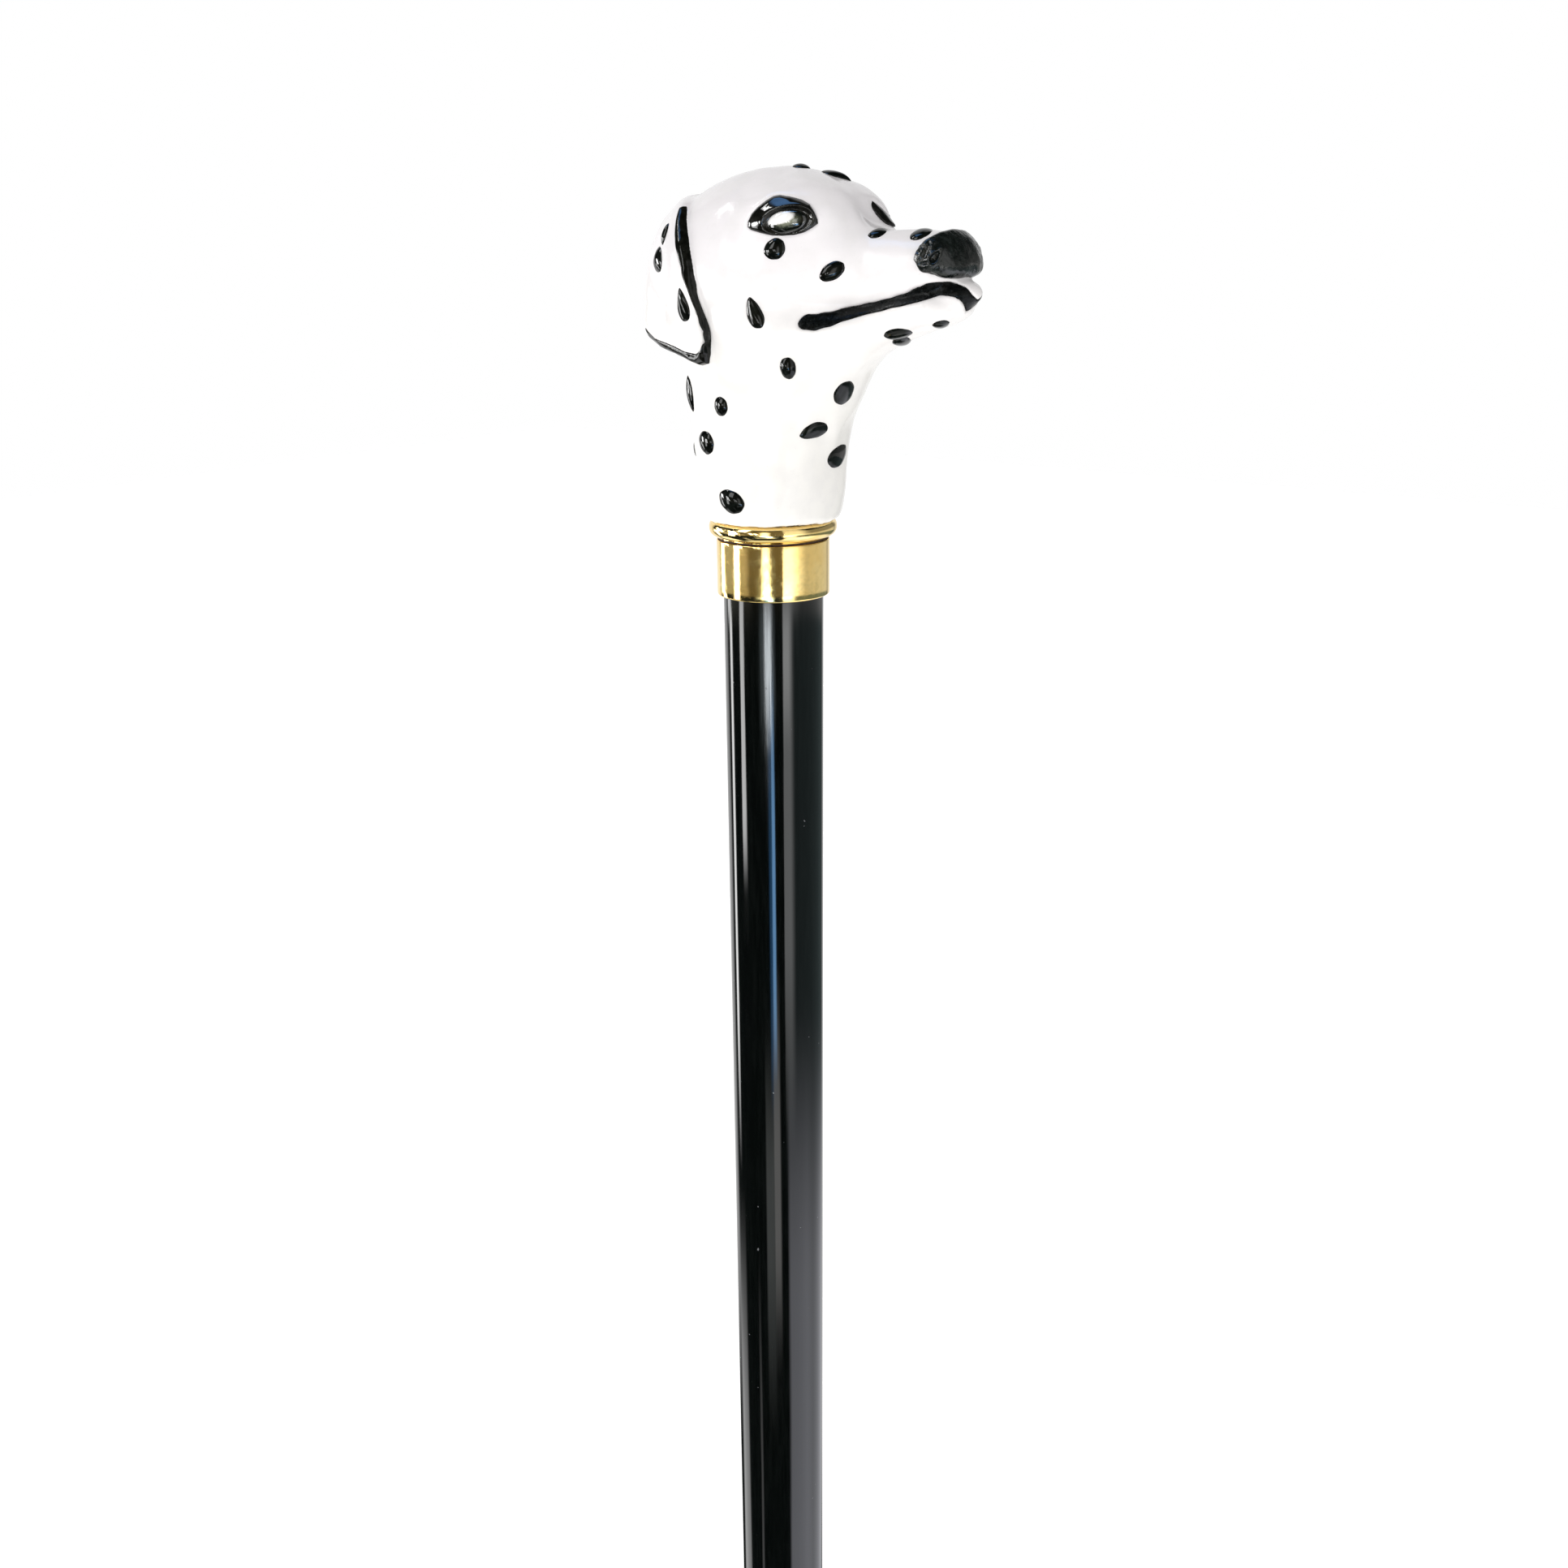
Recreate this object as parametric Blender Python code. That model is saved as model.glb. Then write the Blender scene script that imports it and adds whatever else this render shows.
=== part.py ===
"""Walking stick with a cast, enamelled dog's head for its handle.

Origin: centre of the foot's ground face. +Z runs up the shaft, +X is the way the dog looks,
-Y is the dog's right. Lengths below are in millimetres and become metres when a mesh is made.
"""
import math

import bmesh
import bpy
import numpy as np
from mathutils import Matrix, Vector
from mathutils.bvhtree import BVHTree

MM = 0.001
GAP = 0.3                # between touching pieces

# --- driving dimensions ---------------------------------------------------------------
COLLAR_Z = 840.0         # height of the sleeve's lower edge
SHAFT_R_TOP = 9.95       # shaft radius under the sleeve
SHAFT_R_FOOT = 7.5       # shaft radius at the foot
SHAFT_END_Z = 8.0        # the shaft's lower end, on the steel washer
SHAFT_TOP_Z = COLLAR_Z + 9.0

SLEEVE_R = 11.15
SLEEVE_H = 10.8
SLEEVE_FLOOR = 1.5       # thickness of the sleeve's closed top
WASHER_T = 0.35          # fibre washer in the joint line
BEAD_Z0 = 11.65          # bead ring, above the sleeve's lower edge
BEAD_Z1 = 15.1
BEAD_R = 12.45
HEAD_DROP = 2.6          # the head's own heights are this much above the sleeve's
NECK_RIM = 18.0          # lowest edge of the casting, in the head's own heights
RIBBON_LIFT = 0.5        # a line of enamel clears the casting's facets by this much

STUD_R = 4.85            # M10 stud, at its thread's mean
STUD_TOP = COLLAR_Z + 28.0
STUD_FOOT = COLLAR_Z - 33.0
INSERT_R = 7.0
INSERT_FOOT = COLLAR_Z - 36.0
PLUG_R = 9.6
PLUG_TOP = COLLAR_Z + 30.0

FERRULE_H = 37.0
FERRULE_R_GROUND = 12.6
FERRULE_R_TOP = 9.9
FERRULE_BORE_R = 7.95
FOOT_WASHER_T = 1.4


def clear_scene():
    for item in list(bpy.data.objects):
        bpy.data.objects.remove(item, do_unlink=True)


# --- materials --------------------------------------------------------------------------
def material(name, color, roughness, metallic=0.0, coat=0.0):
    made = bpy.data.materials.get(name)
    if made:
        return made
    made = bpy.data.materials.new(name)
    made.use_nodes = True
    shader = made.node_tree.nodes["Principled BSDF"]
    shader.inputs["Base Color"].default_value = (*color, 1.0)
    shader.inputs["Roughness"].default_value = roughness
    shader.inputs["Metallic"].default_value = metallic
    shader.inputs["Coat Weight"].default_value = coat
    made.diffuse_color = (*color, 1.0)
    return made


def white_enamel():
    return material("white_enamel", (0.80, 0.78, 0.77), 0.12, 0.0, 1.0)


def black_enamel():
    return material("black_enamel", (0.012, 0.012, 0.014), 0.1, 0.0, 1.0)


def gold():
    return material("gold_plate", (0.83, 0.62, 0.27), 0.12, 1.0)


# --- placing ----------------------------------------------------------------------------
def empty(name, z, parent=None):
    item = bpy.data.objects.new(name, None)
    item.empty_display_size = 0.02
    bpy.context.scene.collection.objects.link(item)
    item.parent = parent
    item.location = (0.0, 0.0, z * MM - (parent.matrix_world.translation.z if parent else 0.0))
    bpy.context.view_layer.update()
    return item


def place(item, parent, z=0.0):
    """Puts the object under its empty, with its own origin at world height z on the stick's axis."""
    item.parent = parent
    item.location = (0.0, 0.0, z * MM - parent.matrix_world.translation.z)
    return item


def add_object(name, mesh, mat):
    mesh.materials.clear()
    mesh.materials.append(mat)
    item = bpy.data.objects.new(name, mesh)
    bpy.context.scene.collection.objects.link(item)
    return item


# --- turned pieces ----------------------------------------------------------------------
def turned(name, profile, mat, steps=48, hidden=False):
    """A profile of (radius, height) in mm, turned about Z. It runs down the outer side."""
    mesh = bpy.data.meshes.new(name)
    points = [(r * MM, 0.0, z * MM) for r, z in profile]
    edges = [(i, i + 1) for i in range(len(points) - 1)]
    if profile[0][0] > 1e-6 or profile[-1][0] > 1e-6:
        edges.append((len(points) - 1, 0))
    mesh.from_pydata(points, edges, [])
    item = add_object(name, mesh, mat)
    screw = item.modifiers.new("turn", "SCREW")
    screw.axis = "Z"
    screw.angle = 2.0 * math.pi
    screw.steps = steps
    screw.render_steps = steps
    screw.use_merge_vertices = True
    screw.merge_threshold = 0.00001
    screw.use_smooth_shade = True
    if hidden:
        item.hide_render = True
        item.display_type = "WIRE"
    return item


def round_over(points, corner, radius, steps=2):
    """Replaces the corner at index corner of an open profile by an arc of that radius."""
    a, b, c = (Vector(points[corner + k]) for k in (-1, 0, 1))
    u, v = (a - b).normalized(), (c - b).normalized()
    half = math.acos(max(-1.0, min(1.0, u.dot(v)))) / 2.0
    cut = radius / math.tan(half)
    centre = b + (u + v).normalized() * radius / math.sin(half)
    start, end = b + u * cut - centre, b + v * cut - centre
    sweep = start.angle_signed(end)
    arc = []
    for k in range(steps + 1):
        t = sweep * k / steps
        rot = Matrix.Rotation(-t, 2)
        arc.append(tuple(centre + rot @ start))
    return points[:corner] + arc + points[corner + 1:]


# --- the head as a rule -------------------------------------------------------------------
# Each function gives a number that is below zero inside and about a distance near the skin.
# p is (x, y, z) in the head's own millimetres: x to the nose, z up, the neck's rim at 18.
def smin(a, b, k):
    h = np.clip(0.5 + 0.5 * (b - a) / k, 0.0, 1.0)
    return b * (1 - h) + a * h - k * h * (1 - h)


def smax(a, b, k):
    return -smin(-a, -b, k)


def through(t, stations, values):
    """A smooth curve through the stations, with no overshoot."""
    ts, vs = np.asarray(stations, float), np.asarray(values, float)
    d = np.diff(vs) / np.diff(ts)
    inner = np.where(d[1:] * d[:-1] > 0, 2 * d[1:] * d[:-1] / (d[1:] + d[:-1] + 1e-12), 0.0)
    m = np.concatenate([[d[0]], inner, [d[-1]]])
    t = np.clip(t, ts[0], ts[-1])
    i = np.clip(np.searchsorted(ts, t) - 1, 0, len(ts) - 2)
    h = ts[i + 1] - ts[i]
    s = (t - ts[i]) / h
    return ((2 * s**3 - 3 * s**2 + 1) * vs[i] + (s**3 - 2 * s**2 + s) * h * m[i]
            + (-2 * s**3 + 3 * s**2) * vs[i + 1] + (s**3 - s**2) * h * m[i + 1])


def egg(p, centre, radii, turn_z=0.0):
    x, y, z = p[0] - centre[0], p[1] - centre[1], p[2] - centre[2]
    if turn_z:
        a = math.radians(turn_z)
        x, y = x * math.cos(a) + y * math.sin(a), -x * math.sin(a) + y * math.cos(a)
    k0 = np.sqrt((x / radii[0])**2 + (y / radii[1])**2 + (z / radii[2])**2)
    k1 = np.sqrt((x / radii[0]**2)**2 + (y / radii[1]**2)**2 + (z / radii[2]**2)**2)
    return k0 * (k0 - 1) / (k1 + 1e-9)


def boxy_egg(p, centre, radii, power):
    x, y, z = (np.abs(p[i] - centre[i]) / radii[i] for i in range(3))
    return (np.sqrt((x**power + y**power + 1e-12)**(2.0 / power) + z**2) - 1) * min(radii)


def lofted(t, u, v, t0, t1, cap0, cap1, cu, cv, ru, rv, power):
    k = (np.abs((u - cu) / ru)**power + np.abs((v - cv) / rv)**power)**(1.0 / power)
    end = np.maximum(t - t1, 0) / cap1 + np.maximum(t0 - t, 0) / cap0
    k = np.sqrt(k * k + end * end)
    return (k - 1) * np.minimum(np.minimum(ru, rv), 0.8 * np.minimum(ru, rv) + 2.0)


def outline_distance(u, v, outline):
    pts = np.asarray(outline, float)
    d, s = np.full(u.shape, 1e9), np.ones(u.shape)
    for i in range(len(pts)):
        a, b = pts[i], pts[i - 1]
        ex, ey = b - a
        wx, wy = u - a[0], v - a[1]
        t = np.clip((wx * ex + wy * ey) / (ex * ex + ey * ey), 0, 1)
        bx, by = wx - ex * t, wy - ey * t
        d = np.minimum(d, bx * bx + by * by)
        c1, c2, c3 = v >= a[1], v < b[1], ex * wy > ey * wx
        s = np.where((c1 & c2 & c3) | (~c1 & ~c2 & ~c3), -s, s)
    return s * np.sqrt(d)


NECK_Z = (17.5, 20.5, 24.0, 29.5, 36.0, 42.0, 48.0, 54.0)
NECK_BACK = (-13.6, -14.0, -14.7, -15.5, -16.4, -17.4, -18.6, -19.5)
NECK_FRONT = (13.5, 13.9, 14.2, 14.5, 16.0, 18.8, 22.3, 26.6)
NECK_HALF = (13.6, 14.1, 14.3, 14.4, 14.8, 15.3, 15.6, 15.8)
MUZZLE_X = (6.0, 14.0, 20.0, 25.0, 29.0, 34.0, 39.0, 42.0)
MUZZLE_TOP = (77.0, 76.5, 74.2, 72.3, 71.6, 71.4, 71.2, 70.8)
MUZZLE_BOTTOM = (53.5, 54.6, 55.8, 56.9, 57.8, 59.0, 60.2, 60.2)
MUZZLE_HALF = (14.0, 12.4, 10.6, 9.5, 8.9, 8.4, 8.0, 7.4)
JAW_X = (4.0, 12.0, 20.0, 27.0, 33.0, 38.0, 42.0)
JAW_TOP = (58.0, 58.0, 59.0, 60.0, 61.0, 61.5, 61.0)
JAW_BOTTOM = (48.0, 48.6, 50.0, 51.3, 52.9, 54.4, 55.4)
JAW_HALF = (14.0, 12.0, 10.0, 8.8, 8.1, 7.4, 6.8)

# the ear leaf's own plane: u forward along it, v up it, w out of it
EAR_CENTRE = (-1.0, 18.3, 50.0)
EAR_U = (0.9633, 0.2681, 0.0)
EAR_V = (0.0398, -0.1429, 0.9889)
EAR_W = (-0.2651, 0.9526, 0.1484)
EAR_OUTLINE = ((-12.6, 26.8), (-12.4, 20.3), (-9.4, 13.7), (-6.8, 10.0), (-3.2, 4.5), (-1.0, 0.8), (-1.2, -2.1), (-4.6, -1.8),
               (-9.6, -0.5), (-15.9, 1.4), (-20.2, 2.9), (-23.0, 5.2), (-24.2, 9.0), (-24.6, 16.0), (-23.6, 22.0), (-21.0, 26.6))


def ear_coordinates(x, y, z):
    dx, dy, dz = x - EAR_CENTRE[0], y - EAR_CENTRE[1], z - EAR_CENTRE[2]
    return tuple(dx * a[0] + dy * a[1] + dz * a[2] for a in (EAR_U, EAR_V, EAR_W))


def head_rule(points):
    x, y, z = points[:, 0], points[:, 1], points[:, 2]
    side = np.sqrt(y * y + 0.04)
    p, q = (x, y, z), (x, side, z)
    d = egg(p, (-2.5, 0, 65.5), (20.0, 16.2, 15.6))
    d = smin(d, boxy_egg(p, (7.0, 0, 68.0), (16.4, 13.0, 13.6), 2.9), 6.0)
    d = smin(d, egg(q, (12.5, 7.6, 73.4), (8.2, 5.0, 5.0), -30), 5.0)
    d = smin(d, egg(q, (5.0, 9.6, 60.5), (15.5, 6.6, 9.8), -12), 5.0)
    top, bottom, half = (through(x, MUZZLE_X, v) for v in (MUZZLE_TOP, MUZZLE_BOTTOM, MUZZLE_HALF))
    lean = 1.0 - 0.16 * np.clip((z - 63.0) / 9.0, -0.6, 1.0)
    d = smin(d, lofted(x, y / lean, z, 6.0, 38.4, 6.0, 4.8, 0.0, (top + bottom) / 2, half, (top - bottom) / 2, 2.5), 4.0)
    d = smin(d, egg(q, (38.2, 2.6, 62.0), (5.7, 4.8, 3.4)), 1.5)
    top, bottom, half = (through(x, JAW_X, v) for v in (JAW_TOP, JAW_BOTTOM, JAW_HALF))
    d = smin(d, lofted(x, y, z, 4.0, 37.4, 5.0, 5.2, 0.0, (top + bottom) / 2, half, (top - bottom) / 2, 2.2), 1.2)
    back, front, half = (through(z, NECK_Z, v) for v in (NECK_BACK, NECK_FRONT, NECK_HALF))
    neck = lofted(z, x, y, 17.0, 54.0, 3.0, 6.0, (front + back) / 2, 0.0, (front - back) / 2, half, 2.1)
    d = smin(d, smax(neck, NECK_RIM - z, 1.6), 5.0)
    u, v, w = ear_coordinates(x, side, z)
    bow = -0.009 * (u + 9.0)**2 * (u < -9.0) - 0.030 * (v - 17.0)**2 * (v > 17.0)
    slab = np.abs(w - bow + 3.2) - 3.6
    return smin(d, smax(outline_distance(u, v, EAR_OUTLINE), smin(slab, d - 1.3, 1.5), 1.4), 0.8)


def slope(points, step=0.12):
    """The rule's gradient at each point."""
    axes = np.eye(3) * step
    return np.stack([head_rule(points + axes[i]) - head_rule(points - axes[i]) for i in range(3)], 1) / (2 * step)


def settle(points, rounds=8, level=0.0, reach=0.8):
    """Moves points onto the rule's skin."""
    points = points.copy()
    for _ in range(rounds):
        g = slope(points)
        move = (head_rule(points) - level)[:, None] * g / (np.sum(g * g, 1)[:, None] + 0.05)
        size = np.linalg.norm(move, axis=1)[:, None] + 1e-9
        points -= move * np.minimum(1.0, reach / size)
    return points


# --- the casting ----------------------------------------------------------------------------
def head_blank():
    """Overlapping eggs and a tapered post near the head's shape, made one skin by a voxel remesh."""
    bm = bmesh.new()

    def ball(centre, radii, turn=0.0, segments=32):
        frame = Matrix.Translation(Vector(centre) * MM) @ Matrix.Rotation(math.radians(turn), 4, "Z") @ Matrix.Diagonal((*(r * MM for r in radii), 1.0))
        bmesh.ops.create_uvsphere(bm, u_segments=segments, v_segments=segments // 2, radius=1.0, matrix=frame)

    ball((-2.5, 0, 65.5), (19.6, 15.8, 15.2))
    ball((8.0, 0, 67.5), (15.2, 12.8, 13.2))
    for side in (1, -1):
        ball((12.5, 7.2 * side, 73.0), (7.6, 5.4, 5.2), -30 * side)
        ball((5.0, 9.2 * side, 60.0), (14.5, 6.6, 9.6), -12 * side)
        ball((-12.3, 15.4 * side, 62.0), (10.6, 3.6, 14.0), 15.5 * side)
        ball((-8.5, 16.6 * side, 53.0), (7.5, 3.0, 5.6), 15.5 * side)
    ball((27.0, 0, 64.8), (16.5, 9.0, 7.4))
    ball((36.5, 0, 65.0), (6.2, 8.2, 6.4))
    ball((28.0, 0, 56.0), (14.0, 8.0, 5.2))
    for low, high, c0, c1, r0, r1 in ((18.2, 34.0, 0.0, -0.2, 13.6, 15.2), (34.0, 56.0, -0.2, 2.6, 15.2, 20.0)):
        ring = bmesh.ops.create_cone(bm, cap_ends=True, segments=40, radius1=r0 * MM, radius2=r1 * MM, depth=(high - low) * MM,
                                     matrix=Matrix.Translation((0, 0, (low + high) / 2 * MM)))
        for vert in ring["verts"]:
            t = (vert.co.z / MM - low) / (high - low)
            vert.co.x += (c0 + (c1 - c0) * t) * MM
            vert.co.y *= 1.0 - 0.22 * (t if low > 30 else 0.0)
    mesh = bpy.data.meshes.new("blank")
    bm.to_mesh(mesh)
    bm.free()
    item = bpy.data.objects.new("blank", mesh)
    bpy.context.scene.collection.objects.link(item)
    remesh = item.modifiers.new("skin", "REMESH")
    remesh.mode = "VOXEL"
    remesh.voxel_size = 0.0026
    graph = bpy.context.evaluated_depsgraph_get()
    made = bpy.data.meshes.new_from_object(item.evaluated_get(graph))
    bpy.data.objects.remove(item, do_unlink=True)
    return made


def relax(mesh, points, rounds):
    """Evens the points out along the skin, and settles them back on it."""
    ends = np.array([e.vertices[:] for e in mesh.edges])
    count = np.zeros(len(points))
    np.add.at(count, ends[:, 0], 1)
    np.add.at(count, ends[:, 1], 1)
    for _ in range(rounds):
        total = np.zeros_like(points)
        np.add.at(total, ends[:, 0], points[ends[:, 1]])
        np.add.at(total, ends[:, 1], points[ends[:, 0]])
        points = settle(points + 0.5 * (total / count[:, None] - points), 2)
    return points


def head_casting(parent):
    mesh = head_blank()
    points = np.array([v.co for v in mesh.vertices]) / MM
    points = settle(points, 12)
    points = relax(mesh, points, 6)
    points = settle(points, 4)
    mesh.vertices.foreach_set("co", (points * MM).ravel())
    mesh.update()
    mesh.shade_smooth()
    item = place(add_object("head_casting", mesh, white_enamel()), parent, COLLAR_Z - HEAD_DROP)
    skin = [Vector(v.co) / MM for v in mesh.vertices]
    tree = BVHTree.FromPolygons(skin, [tuple(f.vertices) for f in mesh.polygons])
    # the core that leaves the casting hollow, open at the neck's rim
    profile = [(0.0, 76.0), (6.0, 74.8), (9.6, 71.0), (11.2, 65.0), (11.4, 58.0), (11.2, 46.0), (10.6, 38.0), (PLUG_R + GAP, 34.0), (PLUG_R + GAP, 15.0), (0.0, 15.0)]
    core = place(turned("head_core", profile, white_enamel(), 36, hidden=True), parent, COLLAR_Z - HEAD_DROP)
    cut = item.modifiers.new("core", "BOOLEAN")
    cut.operation = "DIFFERENCE"
    cut.solver = "EXACT"
    cut.object = core
    return item, tree


# --- enamel laid on the casting -----------------------------------------------------------
def on_skin(tree, origin, direction):
    hit = tree.ray_cast(Vector(origin), Vector(direction))[0]
    return None if hit is None else np.array(hit)


def nearest_skin(tree, point):
    return np.array(tree.find_nearest(Vector(point))[0])


def plate(name, parent, mat, lower, upper, rings, spokes, inner=None):
    """A closed body from two matching polar grids of points. With inner set it is a ring, and without it a disc."""
    bm = bmesh.new()
    low = [[bm.verts.new(Vector(p) * MM) for p in ring] for ring in lower]
    high = [[bm.verts.new(Vector(p) * MM) for p in ring] for ring in upper]
    for i in range(rings - 1):
        for j in range(spokes):
            k = (j + 1) % spokes
            bm.faces.new((high[i][j], high[i + 1][j], high[i + 1][k], high[i][k]))
            bm.faces.new((low[i][k], low[i + 1][k], low[i + 1][j], low[i][j]))
    for j in range(spokes):
        k = (j + 1) % spokes
        bm.faces.new((low[-1][j], low[-1][k], high[-1][k], high[-1][j]))
        if inner:
            bm.faces.new((low[0][k], low[0][j], high[0][j], high[0][k]))
    if not inner:
        bm.faces.new(high[0])
        bm.faces.new(list(reversed(low[0])))
    bmesh.ops.triangulate(bm, faces=[f for f in bm.faces if len(f.verts) > 4])
    bmesh.ops.recalc_face_normals(bm, faces=bm.faces)
    mesh = bpy.data.meshes.new(name)
    bm.to_mesh(mesh)
    bm.free()
    return place(add_object(name, mesh, mat), parent, COLLAR_Z - HEAD_DROP)


def patch(name, parent, tree, mat, centre, across, up, tilt, thick=0.35, dome=0.45, scales=(0.36, 0.72, 1.0), spokes=10, inner=None, normal=None, lift=GAP, wave=0.07):
    """An enamel patch that lies on the skin: across and up are its half sizes, tilt turns it."""
    centre = nearest_skin(tree, centre)
    n = slope(centre[None])[0] if normal is None else np.array(normal, float)
    n /= np.linalg.norm(n)
    right = np.cross((0.0, 0.0, 1.0), n)
    right = np.array((1.0, 0.0, 0.0)) if np.linalg.norm(right) < 0.2 else right / np.linalg.norm(right)
    high = np.cross(n, right)
    a = math.radians(tilt)
    ax_u, ax_v = right * math.cos(a) + high * math.sin(a), high * math.cos(a) - right * math.sin(a)
    lower, upper = [], []
    phase = sum(ord(c) for c in name) % 7
    for scale in scales:
        low, top = [], []
        for j in range(spokes):
            t = 2 * math.pi * j / spokes
            r = scale * (1.0 + wave * math.sin(2 * t + phase) + wave * math.cos(3 * t - phase))
            spot = centre + ax_u * across * r * math.cos(t) + ax_v * up * r * math.sin(t)
            hit = on_skin(tree, spot + n * 7.0, -n)
            if hit is None:
                hit = nearest_skin(tree, spot)
            g = slope(hit[None])[0]
            g /= np.linalg.norm(g)
            g = g * 0.8 + n * 0.2
            low.append(hit + g * lift)
            top.append(hit + g * (lift + thick + dome * (1.0 - scale**2)))
        lower.append(low)
        upper.append(top)
    return plate(name, parent, mat, lower, upper, len(scales), spokes, inner)


def ribbon(name, parent, tree, mat, stations, thick=0.35):
    """A strip of enamel along stations of (point, way in, half width, way across)."""
    bm = bmesh.new()
    rows = []
    for point, inward, half, across in stations:
        point, inward, across = (np.array(v, float) for v in (point, inward, across))
        inward, across = inward / np.linalg.norm(inward), across / np.linalg.norm(across)
        low, top = [], []
        for s in (-1.0, 0.0, 1.0):
            spot = point + across * half * s
            hit = on_skin(tree, spot - inward * 6.0, inward)
            if hit is None:
                hit = nearest_skin(tree, spot)
            g = slope(hit[None])[0]
            g = g / np.linalg.norm(g) * 0.7 - inward * 0.3
            low.append(bm.verts.new(Vector(hit + g * RIBBON_LIFT) * MM))
            top.append(bm.verts.new(Vector(hit + g * (RIBBON_LIFT + thick + 0.2 * (1 - abs(s)))) * MM))
        rows.append(low + top[::-1])
    for a, b in zip(rows[:-1], rows[1:]):
        for j in range(6):
            k = (j + 1) % 6
            bm.faces.new((a[j], a[k], b[k], b[j]))
    bm.faces.new(rows[0][::-1])
    bm.faces.new(rows[-1])
    bmesh.ops.triangulate(bm, faces=[f for f in bm.faces if len(f.verts) > 4])
    bmesh.ops.recalc_face_normals(bm, faces=bm.faces)
    mesh = bpy.data.meshes.new(name)
    bm.to_mesh(mesh)
    bm.free()
    return place(add_object(name, mesh, mat), parent, COLLAR_Z - HEAD_DROP)


# centre (x, y, z), half width, half height, tilt in degrees
SPOTS = {
    "spot_crown_rear": ((8.8, -2.5, 81.9), 1.7, 3.4, 0),
    "spot_crown_front": ((14.8, 0.6, 80.8), 2.3, 2.0, 20),
    "spot_bridge": ((27.8, -4.9, 71.0), 1.9, 1.5, 0),
    "spot_beside_nose": ((37.1, -4.8, 70.8), 1.9, 1.8, 0),
    "spot_under_eye": ((12.3, -14.6, 67.2), 2.2, 2.1, 0),
    "spot_muzzle_right": ((22.0, -10.5, 64.5), 2.5, 1.7, 30),
    "spot_cheek_right": ((8.9, -16.1, 57.2), 1.6, 2.9, 15),
    "spot_neck_upper": ((14.0, -13.0, 47.5), 1.6, 1.9, 0),
    "spot_neck_front_upper": ((18.9, -2.5, 42.6), 2.2, 2.1, 25),
    "spot_neck_mid": ((-0.2, -15.2, 40.1), 1.4, 1.8, 0),
    "spot_neck_side_back": ((-10.4, -12.4, 41.8), 1.7, 3.2, 0),
    "spot_neck_front_mid": ((14.7, -6.1, 35.7), 2.7, 1.5, 18),
    "spot_neck_lower_right": ((-4.6, -14.1, 33.0), 1.5, 2.1, 0),
    "spot_neck_front_low": ((14.5, 1.8, 30.4), 1.9, 2.0, 0),
    "spot_neck_base": ((1.3, -14.2, 22.9), 2.2, 2.0, 0),
    "spot_ear_right_upper": ((-14.6, -13.2, 71.1), 1.2, 1.9, 0),
    "spot_ear_right_mid": ((-16.8, -13.2, 65.2), 1.6, 2.2, 0),
    "spot_ear_right_lower": ((-13.2, -15.9, 58.4), 1.1, 2.6, -8),
    "spot_jaw_under": ((32.8, -5.7, 53.4), 2.8, 1.3, 0),
    "spot_chin": ((39.2, -2.9, 55.3), 1.7, 1.0, 0),
    "spot_crown_back": ((-12.0, 3.5, 78.0), 2.4, 2.0, 30),
    "spot_muzzle_left": ((25.5, 9.6, 65.5), 2.1, 1.9, 0),
    "spot_cheek_left": ((10.5, 15.2, 59.0), 2.1, 2.4, 0),
    "spot_temple_left": ((11.0, 11.5, 79.0), 1.8, 1.6, 0),
    "spot_neck_left_upper": ((8.0, 15.4, 44.0), 2.2, 2.6, 10),
    "spot_neck_left_mid": ((-6.0, 14.8, 37.0), 2.4, 2.0, -15),
    "spot_neck_left_low": ((6.5, 13.2, 27.0), 1.9, 2.3, 0),
    "spot_nape_upper": ((-18.6, 3.0, 50.0), 2.2, 2.8, 0),
    "spot_nape_lower": ((-15.0, -3.5, 30.0), 2.0, 2.4, 0),
    "spot_ear_left_upper": ((-17.2, 13.0, 70.0), 1.5, 2.0, 0),
    "spot_ear_left_lower": ((-15.0, 16.4, 60.0), 1.7, 2.5, 0),
}

EYE = (12.6, 12.9, 73.4)
MOUTH = ((18.6, 55.9), (21.0, 56.6), (25.0, 57.4), (29.0, 58.2), (33.5, 59.3), (36.5, 60.3), (39.0, 61.2))


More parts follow.
